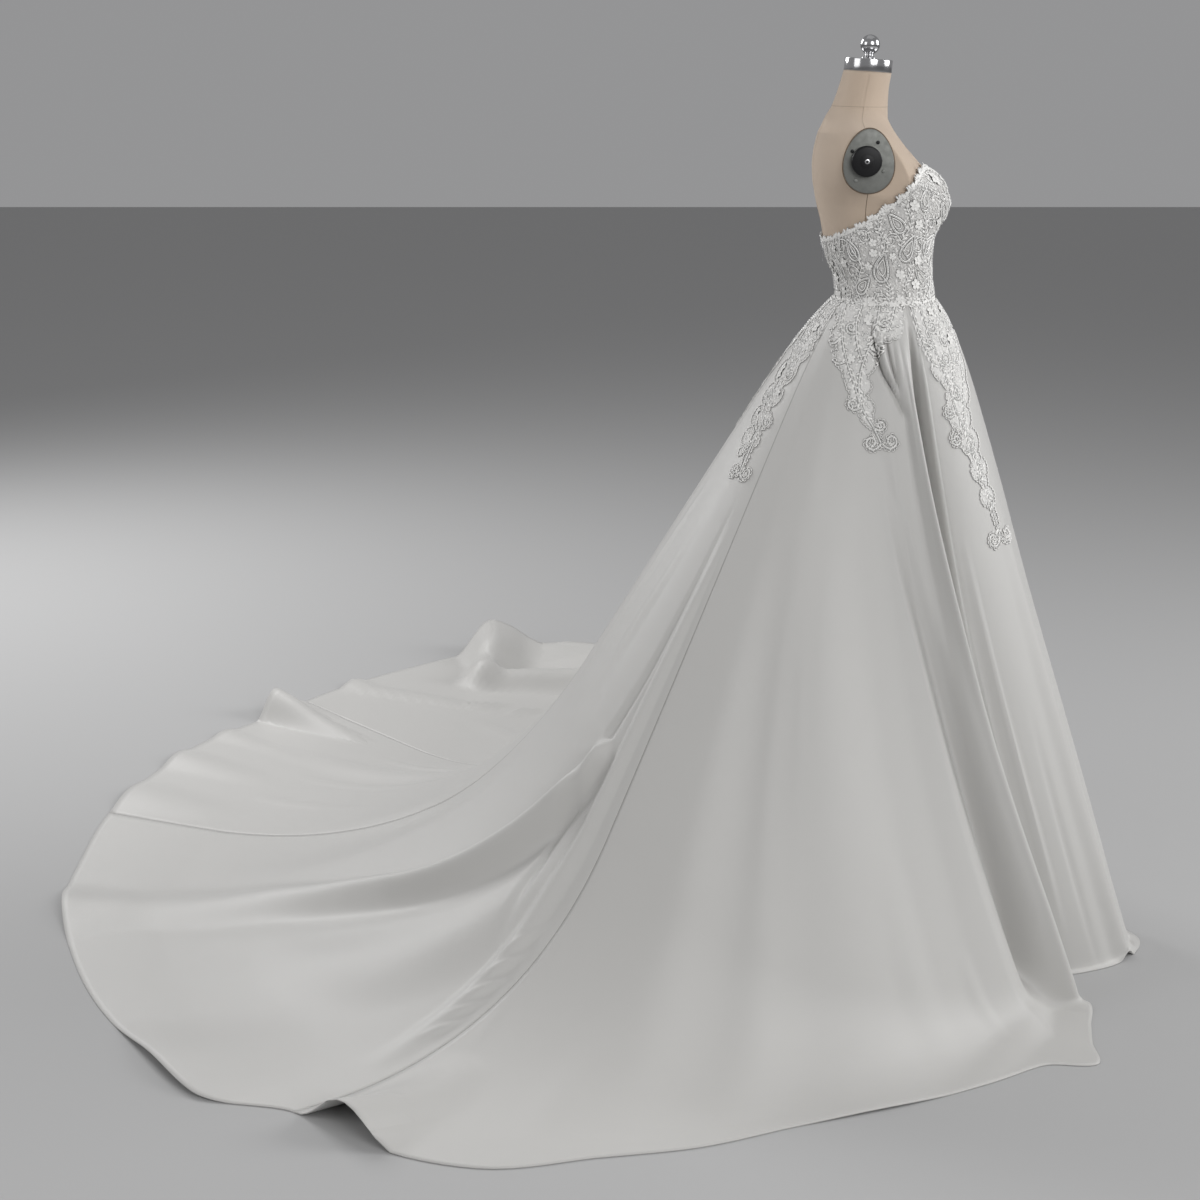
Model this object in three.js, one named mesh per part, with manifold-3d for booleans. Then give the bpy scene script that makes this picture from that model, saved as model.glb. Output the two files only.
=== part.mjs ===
// Strapless wedding dress with a long train, standing on a limbless dress form.
// Millimetres, +Z up, floor at z = 0, +X the front of the dress, -Y the wearer's right.
import * as THREE from 'three';
import Module from 'manifold-3d';

// Driving dimensions
const WAIST_HEIGHT = 1200;
const CLOTH = 2;                 // satin wall
const BODICE_WALL = 2.4;
const FORM_GAP = 0.8;            // bodice to form
const WAIST_OUT = 3;             // skirt middle surface outside the form at the waist
const SEAM_GAP = 0.3;
const HIP_FULLNESS = 30;
const FORM_BOTTOM = 905;
const NECK_TOP = 1578;
const NECK_TILT = 4;             // degrees, front lower
const NECK_CENTRE = -39;
const SIDE_CUT = 150;            // flat of the armhole, from the middle
const CAP_RADIUS = 40;
const CAP_HEIGHT = 21;
const CAP_OVERHANG = 0.6;        // cap outside the neck
const CAP_EDGE = 2;
const BALL_RADIUS = 16.5;
const BALL_HEIGHT = 1622;
const BALL_FROM = -60;           // where the ball leaves its stem, in degrees
const BALL_STEP = 15;
const BALL_TIP = 0.4;
const STEM_RADIUS = 6.5;
const FINIAL_STEM = [[12.5, 0.1], [12.5, 2], [7, 4.5]];   // radius, height above the cap
const PLATE_CENTRE_X = -50.9;
const PLATE_CENTRE_Z = 1437;
const PLATE_HALF_HEIGHT = 51.8;
const PLATE_HALF_WIDTH = 41.2;
const PLATE_NARROWING = 0.17;    // share that the top of the plate is narrower than its middle
const PLATE_THICK = 3;
const PLATE_RIM = 1;
const KNOB_RADIUS = 25;
const KNOB_DEPTH = 14;
const KNOB_CENTRE_X = -55.7;
const KNOB_CENTRE_Z = 1437;
const KNOB_ROUNDING = [[0, 4], [1.3, 1.3], [5, 0]];   // inset, distance below the face
const POLE_RADIUS = 16;
const BASE_RADIUS = 180;
const BASE_HEIGHT = 12;
const BASE_PROFILE = [[0, 7], [3, 4], [30, 1.5], [154, 0]];   // inset, distance below the top
const POLE_FOOT_RADIUS = 24;
const POLE_FOOT_HEIGHT = 28;
const TOUCH = 0.1;               // between hard pieces that meet
const ZIP_HALF_WIDTH = 4;
const ZIP_HEIGHT = 94;
const ZIP_ROWS = 8;
const PULL_AXIS_HEIGHT = 1278;

const DEG = Math.PI / 180;
const clamp = (value, low, high) => Math.min(high, Math.max(low, value));

// Skirt: waist angle, hem angle, hem radius, foot radius, ease of the bend at the floor
const HEM = [
  [0, 0, 520, 504, 16], [20, 7, 500, 486, 15], [40, 14, 462, 448, 14], [56, 19.5, 420, 406, 12],
  [66, 24, 382, 368, 12], [74, 28, 335, 322, 12], [78, 31.5, 330, 312, 12], [82, 35, 425, 410, 15],
  [86, 38.5, 465, 436, 20], [92, 45.5, 499, 405, 35], [97, 52, 545, 415, 60], [101, 57, 600, 430, 80],
  [107, 65, 560, 432, 80], [114, 77, 588, 455, 100], [122, 91, 645, 500, 120], [130, 104, 728, 555, 150],
  [137, 114, 850, 620, 200], [143, 121.5, 945, 665, 240], [147.5, 128.5, 1070, 705, 300],
  [152, 138, 1145, 735, 350], [155, 145.5, 1175, 760, 380], [158, 152, 1295, 780, 410],
  [161.5, 160, 1335, 800, 450], [165, 169, 1400, 815, 490], [168.5, 177, 1462, 820, 520],
  [172.5, 186, 1545, 825, 560], [176.5, 195, 1615, 835, 600], [180, 203.5, 1705, 850, 620],
  [185, 212, 1790, 860, 640], [192, 220, 1868, 870, 640], [200, 226, 1900, 870, 640],
  [208, 233, 1985, 870, 620], [216, 241, 2070, 865, 600], [223, 248, 2130, 850, 560],
  [230, 255, 1950, 810, 500], [238, 264, 1560, 740, 420], [247, 276, 1180, 650, 320],
  [256, 288, 900, 560, 200], [264, 300, 700, 490, 110], [270, 310, 600, 430, 60],
  [275, 318, 520, 410, 35], [279, 324, 440, 425, 20], [283, 328.5, 335, 320, 12],
  [290, 333, 372, 358, 12], [303, 340, 425, 411, 12], [320, 346, 465, 451, 14], [340, 353, 500, 486, 15],
];

// Form: height, front, back, half width
const BODY = [
  [905, 80, -98, 112], [960, 93, -117, 129], [1020, 94, -119, 131], [1080, 91, -111, 128],
  [1130, 87, -97, 122], [1170, 84, -85, 116], [1200, 83, -78, 112], [1235, 77, -82, 112],
  [1268, 75, -96, 118], [1300, 77, -105, 125], [1330, 84, -111, 131], [1360, 87, -119, 138],
  [1380, 79, -123, 150], [1400, 68, -126, 166], [1425, 48, -127, 175], [1447, 32, -125, 174],
  [1462, 20, -122, 166], [1478, 8, -118, 150], [1490, 1, -113, 118], [1503, -4, -108, 84],
  [1520, -4, -98, 60], [1550, -3, -87, 46], [1578, 1, -79, 40],
];
const ROUNDNESS = 2.15;

// Bust: height, how far each side stands forward
const BUST = [
  [1300, 0], [1327, 5], [1339, 11], [1361, 15], [1378, 17.5], [1399, 19], [1415, 15.5], [1430, 9], [1455, 0],
];
const BUST_SIDE = 58;
const BUST_SPREAD = 54;
const FORM_BUST = 0.5;           // share of the cups' reach that the form has

// Top edge of the bodice: angle from the front, height; small points of the lace edge stand on it
const NECKLINE = [
  [0, 1376], [10, 1392], [18, 1414], [25, 1423], [33, 1420], [44, 1413], [56, 1403], [66, 1392],
  [76, 1379], [90, 1361], [102, 1344], [120, 1325], [145, 1308], [165, 1301], [180, 1298],
];
const POINT_HEIGHT = 5;
const POINT_SPACING = 12.9;

// Folds that run down the skirt: points of path length, waist angle, half width in degrees, height
const FOLDS = [
  // deep pleats and the rolled edges beside them
  [[30, 78, 3, 0], [110, 78, 5.5, -20], [180, 78, 6.2, -29], [300, 78, 6.5, -44], [450, 78, 6.5, -50],
    [700, 78, 6.5, -50], [1100, 78, 5.5, -30], [1400, 78, 5, -20]],
  [[60, 86, 3, 0], [250, 86, 4, 12], [600, 85, 4.5, 18], [1000, 85, 4.5, 18], [1180, 86, 4, 14],
    [1330, 87, 4, 0]],
  [[230, 106, 5, 0], [420, 99, 6, -8], [700, 94, 6, -16], [1000, 93, 5, -24], [1150, 93, 4.5, -30],
    [1215, 93, 4, 0]],
  [[60, 274, 3, 0], [250, 274, 4, 12], [600, 275, 4.5, 18], [1000, 275, 4.5, 18], [1180, 274, 4, 12],
    [1330, 273, 4, 0]],
  [[230, 256, 5, 0], [480, 260, 6, -10], [700, 265, 6, -18], [1000, 266, 5, -24], [1180, 266, 4.5, -20],
    [1260, 266, 4, 0]],
  [[30, 282, 3, 0], [110, 282, 5.5, -20], [180, 282, 6.2, -29], [300, 282, 6.5, -43],
    [450, 282, 6.5, -50], [700, 282, 6.5, -50], [1100, 282, 5.5, -32], [1400, 282, 5, -22]],
  // unpressed pleats at the hips
  [[34, 92, 2.4, 0], [90, 91, 2.8, -9], [150, 89, 3, -9], [260, 88, 3, 0]],
  [[34, 99, 2.4, 0], [80, 99, 2.8, -9], [150, 97.5, 3, -8], [240, 96, 3, 0]],
  [[34, 268, 2.4, 0], [90, 269, 2.8, -9], [150, 271, 3, -9], [250, 272, 3, 0]],
  [[34, 261, 2.4, 0], [80, 261, 2.8, -9], [150, 262.5, 3, -8], [250, 264, 3, 0]],
  // front panel
  [[380, 62, 2, 0], [620, 61.5, 2.6, 6], [950, 60.5, 2.6, 7], [1180, 60, 2.4, 0]],
  [[480, 69, 2, 0], [700, 69, 2.2, 6], [1000, 68.5, 2.2, 7], [1160, 68, 2.4, 0]],
  [[420, 299, 2, 0], [640, 299, 2.6, 6], [980, 300, 2.6, 7], [1200, 301, 2.4, 0]],
  [[300, 26, 8, 0], [700, 27, 9, 9], [1300, 28, 8, 16]],
  [[350, 5, 8, 0], [800, 4, 9, -7], [1300, 3, 8, -12]],
  [[300, 335, 8, 0], [700, 334, 9, 10], [1300, 332, 8, 15]],
  // side panels
  [[300, 128, 10, 0], [800, 126, 11, 14], [1300, 125, 10, 10], [1500, 125, 9, 0]],
  [[400, 142, 6, 0], [900, 141, 7, -12], [1400, 141, 6, -6], [1500, 141, 6, 0]],
  [[300, 236, 8, 0], [800, 238, 9, 14], [1500, 240, 8, 10], [1900, 240, 8, 0]],
  [[1100, 251, 3, 0], [1400, 250, 3.2, 22], [1700, 249, 3, 30]],
  [[1000, 259, 3, 0], [1250, 258, 3, 16], [1500, 258, 3, 22]],
  // rolls beside the side seams, and the arch of the hem at the right one
  [[420, 157.3, 1.2, 0], [700, 157.4, 1.3, 9], [1100, 157.2, 1.1, 12], [1400, 156.6, 1, 10],
    [1640, 156.2, 1, 0]],
  [[380, 158.8, 0.9, 0], [690, 159.6, 0.9, -5], [910, 160.9, 1, -8], [1110, 160, 0.9, -7],
    [1300, 157.9, 0.7, 0]],
  [[420, 206.2, 1.5, 0], [800, 206.4, 1.5, 9], [1300, 206.2, 1.4, 11], [1700, 206, 1.2, 0]],
  [[1480, 153.2, 1.4, 0], [1600, 153, 1.8, 16], [1780, 152.7, 2.3, 50]],
  [[1650, 160, 3, 0], [1900, 160, 4, 20]],
  // long ridge of the train and the hollow before it
  [[845, 160.2, 1.4, 0], [880, 160.4, 2, 36], [1000, 161.8, 2.4, 52], [1137, 163.8, 2.6, 54],
    [1242, 165.6, 2.6, 52], [1367, 168, 2.6, 48], [1540, 171, 2.5, 38], [1733, 172.6, 2.5, 26],
    [1928, 172.6, 2.5, 18], [2080, 171.6, 2.5, 12]],
  [[860, 158.8, 1.2, 0], [930, 159, 1.6, -16], [1000, 160, 2, -28], [1137, 162, 2.2, -34],
    [1242, 163.9, 2.2, -32], [1367, 166.4, 2.2, -28], [1540, 169.4, 2.1, -18], [1733, 171, 2, -8],
    [1900, 171, 2, 0]],
  [[1000, 157.6, 2, 0], [1200, 159.6, 3, 10], [1500, 163, 4, 14], [1700, 166, 4, 0]],
  // soft folds of the train
  [[1000, 178, 3, 0], [1400, 178.6, 3, -12], [1900, 178, 3, 0]],
  [[900, 186, 5, 0], [1300, 188, 6, 14], [1800, 190, 5, 0]],
  [[1300, 196, 4, 0], [1800, 195, 4, 12], [2300, 194, 3, 0]],
  [[900, 205, 6, 0], [1500, 206, 6, -14], [2000, 207, 5, 0]],
  [[1960, 173, 1.5, 0], [2120, 172.6, 2, 18]],
  [[2000, 182, 2, 0], [2250, 182, 2.4, 12]],
  [[2050, 187.5, 2, 0], [2350, 187.5, 2.4, 14]],
  [[2150, 193.5, 2, 0], [2450, 193.5, 2.4, 10]],
  // raised folds of the far hem
  [[2120, 202.4, 1.8, 0], [2300, 201.6, 2.6, 30], [2420, 201.2, 3, 60], [2520, 200.8, 3.2, 78]],
  [[2120, 218, 1, 0], [2280, 214.5, 1, 12], [2500, 210.5, 1.2, 16]],
  [[2330, 218.5, 2, 0], [2430, 220, 2.7, 44], [2560, 222, 3, 76], [2720, 223.4, 3.2, 92]],
  [[2450, 222, 1.4, 0], [2560, 224.2, 2, 22], [2720, 225.8, 2.2, 36]],
  [[2150, 233, 9, 0], [2350, 232, 9, 30], [2600, 231, 8, 60]],
  [[1900, 244, 5, 0], [2100, 243, 6, 18], [2300, 243, 6, 40]],
];

// Folds that run round the skirt: points of waist angle, path length, half width, height
const ROLLS = [
  [[217, 2420, 60, 0], [219.5, 2385, 75, 40], [223, 2330, 85, 48], [229, 2250, 90, 44],
    [236, 2080, 80, 30], [242, 1900, 70, 0]],
  [[219, 2560, 60, 0], [222, 2480, 80, -20], [229, 2400, 90, -20], [236, 2220, 80, 0]],
  [[214.5, 2240, 20, 0], [217, 2215, 28, 12], [219.5, 2190, 20, 0]],
  [[217, 2110, 20, 0], [219, 2130, 28, 12], [222, 2120, 20, 0]],
  [[93, 1225, 40, 0], [98, 1240, 50, 5], [108, 1300, 60, 6], [118, 1380, 60, 0]],
];

// Gores: name, first and last seam in waist degrees, columns
const GORES = [
  ['skirt_front', -78, 78, 29],
  ['skirt_side_right', 78, 155, 33],
  ['skirt_back_right', 155, 180, 17],
  ['skirt_back_left', 180, 205, 13],
  ['skirt_side_left', 205, 282, 28],
];
// Where each gore's columns crowd: waist angle, half width, extra density
const CROWDING = [
  [78, 9, 2.2], [282, 9, 2.2], [157, 3, 1.3], [167, 7, 0.6], [221, 4, 1.2], [201, 3, 0.8],
  [98, 9, 0.8], [262, 9, 0.3],
];
// Share of the path at each row of the skirt
const ROWS = [
  0, 0.019, 0.045, 0.085, 0.135, 0.195, 0.26, 0.33, 0.4, 0.47, 0.54, 0.61, 0.68, 0.75, 0.815, 0.88,
  0.94, 1,
];

// Bodice pieces: name, first and last seam in degrees from the front, columns
const BODICE = [
  ['bodice_front', -70, 70, 28],
  ['bodice_side_right', 70, 125, 9],
  ['bodice_back_right', 125, 180, 9],
  ['bodice_back_left', 180, 235, 9],
  ['bodice_side_left', 235, 290, 9],
];
const BODICE_ROWS = 8;
const CUP_EASE = 1.6;            // how far the upper bodice stands off the form
const CUP_EASE_FROM = 1325;
const CUP_EASE_RISE = 35;

// Interpolation through a table without overshoot
function slopes(xs, ys) {
  const steps = xs.slice(1).map((x, i) => (ys[i + 1] - ys[i]) / (x - xs[i]));
  return xs.map((x, i) => {
    if (i === 0) return steps[0];
    if (i === xs.length - 1) return steps[i - 1];
    const [before, after] = [steps[i - 1], steps[i]];
    return before * after <= 0 ? 0 : 2 * before * after / (before + after);
  });
}
function curve(rows, column) {
  const xs = rows.map((row) => row[0]);
  const ys = rows.map((row) => row[column]);
  const ms = slopes(xs, ys);
  return (value) => {
    const x = clamp(value, xs[0], xs[xs.length - 1]);
    let i = 0;
    while (i < xs.length - 2 && x >= xs[i + 1]) i += 1;
    const h = xs[i + 1] - xs[i];
    const t = (x - xs[i]) / h;
    const t2 = t * t;
    const t3 = t2 * t;
    return (2 * t3 - 3 * t2 + 1) * ys[i] + (t3 - 2 * t2 + t) * h * ms[i]
      + (3 * t2 - 2 * t3) * ys[i + 1] + (t3 - t2) * h * ms[i + 1];
  };
}
const turn = (angle) => ((angle % 360) + 360) % 360;
const turned = (row, by) => [row[0] + by, row[1] + by, ...row.slice(2)];
const hemRows = [
  ...HEM.slice(-4).map((row) => turned(row, -360)), ...HEM, ...HEM.slice(0, 4).map((row) => turned(row, 360)),
];
const [hemAngle, hemRadius, footRadius, footEase] = [1, 2, 3, 4].map((k) => curve(hemRows, k));
const [bodyFront, bodyBack, bodyHalf] = [1, 2, 3].map((k) => curve(BODY, k));
const bustReach = curve(BUST, 1);
const neckline = curve(NECKLINE, 1);
const foldLines = FOLDS.map((rows) => ({
  rows, centre: curve(rows, 1), width: curve(rows, 2), height: curve(rows, 3),
}));
const rollLines = ROLLS.map((rows) => ({
  rows, centre: curve(rows, 1), width: curve(rows, 2), height: curve(rows, 3),
}));
const crest = (share) => (share >= 1 ? 0 : Math.cos(share * Math.PI / 2) ** 2);

// A level section of the form, or of cloth a given distance outside it
function sectionPoint(angle, z, grow, bust = 1) {
  const [front, back, half] = [bodyFront(z), bodyBack(z), bodyHalf(z)];
  const c = Math.cos(angle * DEG);
  const s = Math.sin(angle * DEG);
  const middle = (front + back) / 2;
  const power = 2 / ROUNDNESS;
  let x = middle + ((front - back) / 2 + grow) * Math.sign(c) * Math.abs(c) ** power;
  const y = -(half + grow) * Math.sign(s) * Math.abs(s) ** power;
  if (x > middle) x += bust * bustReach(z) * crest(Math.abs(Math.abs(y) - BUST_SIDE) / BUST_SPREAD);
  return new THREE.Vector3(x, y, z);
}
function formPoint(angle, z) {
  const p = sectionPoint(angle, z, 0, FORM_BUST);
  p.y = clamp(p.y, -SIDE_CUT, SIDE_CUT);
  const share = clamp((z - 1500) / (NECK_TOP - 1500), 0, 1);
  p.z -= share * (p.x - NECK_CENTRE) * Math.tan(NECK_TILT * DEG);
  return p;
}

function foldHeight(angle, length) {
  let height = 0;
  for (const { rows, centre, width, height: rise } of foldLines) {
    const last = rows[rows.length - 1];
    if (length <= rows[0][0] || (last[3] === 0 && length >= last[0])) continue;
    const away = Math.abs(turn(angle - centre(length) + 180) - 180);
    height += rise(length) * crest(away / width(length));
  }
  for (const { rows, centre, width, height: rise } of rollLines) {
    if (angle <= rows[0][0] || angle >= rows[rows.length - 1][0]) continue;
    height += rise(angle) * crest(Math.abs(length - centre(angle)) / width(angle));
  }
  return height;
}

// Middle surface of the skirt at a waist angle and a share of the path from waist to hem
function skirtPath(angle) {
  const round = turn(angle);
  const waist = sectionPoint(round, WAIST_HEIGHT, WAIST_OUT);
  const waistRadius = Math.hypot(waist.x, waist.y);
  const waistTurn = turn(Math.atan2(-waist.y, waist.x) / DEG);
  const [radius, foot, ease] = [hemRadius(round), footRadius(round), footEase(round)];
  const fall = Math.hypot(foot - waistRadius, WAIST_HEIGHT);
  const swing = turn(hemAngle(round) - waistTurn + 180) - 180;
  return {
    round, waistRadius, waistTurn, radius, foot, ease, fall, swing,
    outward: (foot - waistRadius) / fall, downward: -WAIST_HEIGHT / fall, length: fall + radius - foot,
  };
}
function skirtPoint(path, share) {
  const { round, waistRadius, waistTurn, foot, ease, fall, swing, outward, downward } = path;
  const length = path.length * share;
  const past = length - fall;
  let r = past < 0 ? waistRadius + outward * length : foot + past;
  let z = past < 0 ? WAIST_HEIGHT + downward * length : 0;
  const bend = Math.max(ease - Math.abs(past), 0) ** 2 / (4 * ease);
  r += (1 - outward) * bend;
  z -= downward * bend;
  const down = clamp(length / fall, 0, 1);
  r += HIP_FULLNESS * (1 - Math.exp(-down / 0.05)) * (1 - down) ** 1.5 * Math.abs(downward);
  const level = clamp(0.5 * (1 + past / ease), 0, 1);
  const tr = outward * (1 - level) + level;
  const tz = downward * (1 - level);
  const norm = Math.hypot(tr, tz);
  const height = foldHeight(round, length);
  r -= tz / norm * height;
  z += tr / norm * height;
  const direction = (waistTurn + swing * down ** 1.15) * DEG;
  return new THREE.Vector3(r * Math.cos(direction), -r * Math.sin(direction), Math.max(z, CLOTH / 2));
}

// Closed shell between two grids of points; cells left out of it open right through
function shell(outer, inner, keep = () => true) {
  const across = outer.length;
  const along = outer[0].length;
  const positions = [];
  for (const p of [outer, inner].flat(2)) positions.push(p.x, p.y, p.z);
  const top = (i, j) => i * along + j;
  const under = (i, j) => across * along + top(i, j);
  const inside = (i, j) => i >= 0 && j >= 0 && i < across - 1 && j < along - 1 && keep(i, j);
  const faces = [];
  const quad = (a, b, c, d) => faces.push(a, b, c, a, c, d);
  for (let i = 0; i < across - 1; i += 1) {
    for (let j = 0; j < along - 1; j += 1) {
      if (!inside(i, j)) continue;
      quad(top(i, j), top(i, j + 1), top(i + 1, j + 1), top(i + 1, j));
      quad(under(i, j), under(i + 1, j), under(i + 1, j + 1), under(i, j + 1));
      if (!inside(i - 1, j)) quad(top(i, j), under(i, j), under(i, j + 1), top(i, j + 1));
      if (!inside(i + 1, j)) quad(top(i + 1, j + 1), under(i + 1, j + 1), under(i + 1, j), top(i + 1, j));
      if (!inside(i, j - 1)) quad(top(i + 1, j), under(i + 1, j), under(i, j), top(i, j));
      if (!inside(i, j + 1)) quad(top(i, j + 1), under(i, j + 1), under(i + 1, j + 1), top(i + 1, j + 1));
    }
  }
  return solid(positions, faces);
}
// Geometry with points in one place joined, flat triangles left out and faces outward
function solid(positions, faces) {
  const places = new Map();
  const kept = [];
  const joined = faces.map((index) => {
    const xyz = positions.slice(3 * index, 3 * index + 3);
    const key = xyz.map((value) => Math.round(value * 1e4)).join();
    if (!places.has(key)) {
      places.set(key, kept.length / 3);
      kept.push(...xyz);
    }
    return places.get(key);
  });
  const indices = [];
  for (let i = 0; i < joined.length; i += 3) {
    const [a, b, c] = joined.slice(i, i + 3);
    if (a !== b && b !== c && c !== a) indices.push(a, b, c);
  }
  let volume = 0;
  const corner = (index) => new THREE.Vector3().fromArray(kept, 3 * index);
  for (let i = 0; i < indices.length; i += 3) {
    const [a, b, c] = [corner(indices[i]), corner(indices[i + 1]), corner(indices[i + 2])];
    volume += a.dot(b.cross(c));
  }
  if (volume < 0) indices.reverse();
  const geometry = new THREE.BufferGeometry();
  geometry.setAttribute('position', new THREE.Float32BufferAttribute(kept, 3));
  geometry.setIndex(indices);
  geometry.computeVertexNormals();
  return geometry;
}
// Normals of a grid, lengthened at creases so that the wall keeps its thickness
const MOST_LENGTHENED = 1.7;
function gridNormals(grid, outwardAt) {
  const across = grid.length;
  const along = grid[0].length;
  const cell = (i, j) => {
    const a = grid[i][j];
    const d1 = new THREE.Vector3().subVectors(grid[i + 1][j + 1], a);
    const d2 = new THREE.Vector3().subVectors(grid[i][j + 1], grid[i + 1][j]);
    return d1.cross(d2).normalize();
  };
  return grid.map((line, i) => line.map((p, j) => {
    const around = [];
    for (const di of [-1, 0]) {
      for (const dj of [-1, 0]) {
        const [ci, cj] = [i + di, j + dj];
        if (ci >= 0 && cj >= 0 && ci < across - 1 && cj < along - 1) around.push(cell(ci, cj));
      }
    }
    const n = around.reduce((sum, m) => sum.add(m), new THREE.Vector3()).normalize();
    const least = Math.min(...around.map((m) => m.dot(n)));
    if (n.dot(outwardAt(p)) < 0) n.negate();
    return n.multiplyScalar(Math.min(MOST_LENGTHENED, 1 / Math.max(least, 0.1)));
  }));
}

// Column angles of a gore, closer together where folds are sharp
function columnAngles(first, last, count) {
  const density = (angle) => CROWDING.reduce((sum, [centre, width, extra]) => {
    const away = Math.abs(turn(angle - centre + 180) - 180);
    return sum + extra * crest(away / (1.6 * width));
  }, 1);
  const samples = 600;
  const totals = [0];
  for (let k = 0; k < samples; k += 1) {
    totals.push(totals[k] + density(first + (last - first) * (k + 0.5) / samples));
  }
  const angles = [];
  let k = 0;
  for (let i = 0; i <= count; i += 1) {
    const wanted = totals[samples] * i / count;
    while (k < samples - 1 && totals[k + 1] < wanted) k += 1;
    const part = (wanted - totals[k]) / (totals[k + 1] - totals[k]);
    angles.push(first + (last - first) * (k + clamp(part, 0, 1)) / samples);
  }
  return angles;
}

const upAndOut = (p) => new THREE.Vector3(p.x, p.y, 200).normalize();
const column = (angle) => {
  const path = skirtPath(angle);
  return ROWS.map((share) => skirtPoint(path, share));
};
// Normals and sideways directions along a seam, the same for the gores on both sides of it
const SEAM_REACH = 1.5;
function seamFrame(angle) {
  const [before, on, after] = [-SEAM_REACH, 0, SEAM_REACH].map((by) => column(angle + by));
  const normals = gridNormals([before, on, after], upAndOut)[1];
  const sideways = on.map((p, j) => {
    const n = normals[j].clone().normalize();
    const t = new THREE.Vector3().subVectors(after[j], before[j]);
    return t.addScaledVector(n, -t.dot(n)).normalize();
  });
  return { normals, sideways };
}
function gorePoints(first, last, columns) {
  const angles = columnAngles(first, last, columns);
  const middle = angles.map(column);
  const outward = gridNormals(middle, upAndOut);
  for (const [i, angle, sign] of [[0, first, 1], [columns, last, -1]]) {
    const { normals, sideways } = seamFrame(angle);
    outward[i] = normals;
    middle[i] = middle[i].map((p, j) => p.clone().addScaledVector(sideways[j], sign * SEAM_GAP / 2));
  }
  const offset = (distance) => middle.map((line, i) => line.map((p, j) => {
    const n = outward[i][j].clone();
    if (j === 0) n.setZ(0).normalize();
    const q = p.clone().addScaledVector(n, distance);
    if (j === 0) q.z = WAIST_HEIGHT - SEAM_GAP / 2;
    return q;
  }));
  const outer = offset(CLOTH / 2);
  const inner = offset(-CLOTH / 2);
  for (let i = 0; i <= columns; i += 1) {
    for (let j = 0; j < ROWS.length; j += 1) {
      inner[i][j].z = Math.max(inner[i][j].z, 0);
      if (middle[i][j].z <= CLOTH / 2 + 1e-9) inner[i][j].z = 0;
      outer[i][j].z = Math.max(outer[i][j].z, CLOTH);
    }
  }
  return { angles, outer, inner, outward };
}

// Materials
const paint = (name, color, roughness, metalness = 0) => {
  const material = new THREE.MeshStandardMaterial({ color, roughness, metalness });
  material.name = name;
  return material;
};
const satin = paint('satin', 0xeeece6, 0.45);
const lace = paint('lace', 0xf4f2ee, 0.8);
const linen = paint('linen', 0xcdb79c, 0.95);
const chrome = paint('chrome', 0xd5d7da, 0.15, 1);
const steel = paint('steel', 0x7f8488, 0.45, 1);
const black = paint('black_plastic', 0x141416, 0.5);
const tape = paint('zip_tape', 0xe9e7e2, 0.8);
const nickel = paint('nickel', 0xc4c6c9, 0.3, 1);

const dress = new THREE.Group();
dress.name = 'wedding_dress_on_form';
function add(name, geometry, material) {
  const mesh = new THREE.Mesh(geometry, material);
  mesh.name = name;
  dress.add(mesh);
  return mesh;
}

// Skirt
const gores = GORES.map(([name, first, last, columns]) => {
  const points = gorePoints(first, last, columns);
  add(name, shell(points.outer, points.inner), satin);
  return { name, first, last, ...points };
});

// Point on a gore's outer face, moved a given distance out
function onGore(gore, angle, share, distance) {
  const { angles, outer, outward } = gore;
  let i = 0;
  while (i < angles.length - 2 && angle >= angles[i + 1]) i += 1;
  let j = 0;
  while (j < ROWS.length - 2 && share >= ROWS[j + 1]) j += 1;
  const a = clamp((angle - angles[i]) / (angles[i + 1] - angles[i]), 0, 1);
  const b = clamp((share - ROWS[j]) / (ROWS[j + 1] - ROWS[j]), 0, 1);
  const weights = b > a ? [[i, j, 1 - b], [i, j + 1, b - a], [i + 1, j + 1, a]]
    : [[i, j, 1 - a], [i + 1, j, a - b], [i + 1, j + 1, b]];
  const blend = (grid) => weights.reduce(
    (sum, [ci, cj, w]) => sum.addScaledVector(grid[ci][cj], w), new THREE.Vector3());
  return blend(outer).addScaledVector(blend(outward), distance);
}

// Lace on the right of the skirt, with openings right through; the left has the same turned over.
// Rows: length down the skirt, waist angles of the two edges
const LACE = {
  front: [
    [8, 4, 71], [60, 11, 67], [105, 17, 63], [168, 20, 61], [225, 26, 62], [265, 28, 58], [300, 28, 51],
    [343, 25, 46], [385, 26, 43], [430, 22, 40], [474, 27, 36]],
  hip: [
    [8, 98, 150], [55, 104, 143], [105, 108, 135], [166, 106, 129], [205, 104, 124], [240, 99, 120],
    [276, 100, 108]],
  back: [
    [8, 157, 179], [60, 157, 178], [110, 157.4, 175], [170, 158, 172.5], [232, 157.6, 171],
    [285, 158.6, 167.5], [325, 157.8, 167], [362, 158.6, 165], [394, 160.4, 163.4]],
};
const LACE_PIECES = [
  ['lace_front_right', 'skirt_front', LACE.front, 1], ['lace_front_left', 'skirt_front', LACE.front, -1],
  ['lace_hip_right', 'skirt_side_right', LACE.hip, 1], ['lace_hip_left', 'skirt_side_left', LACE.hip, -1],
  ['lace_back_right', 'skirt_back_right', LACE.back, 1], ['lace_back_left', 'skirt_back_left', LACE.back, -1],
];
const LACE_CLEAR = 0.98;
const LACE_THICK = 1.2;
const LACE_STEP = 50;
const LACE_SWING = 4.5;          // most that an edge moves between stations, in degrees
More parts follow.
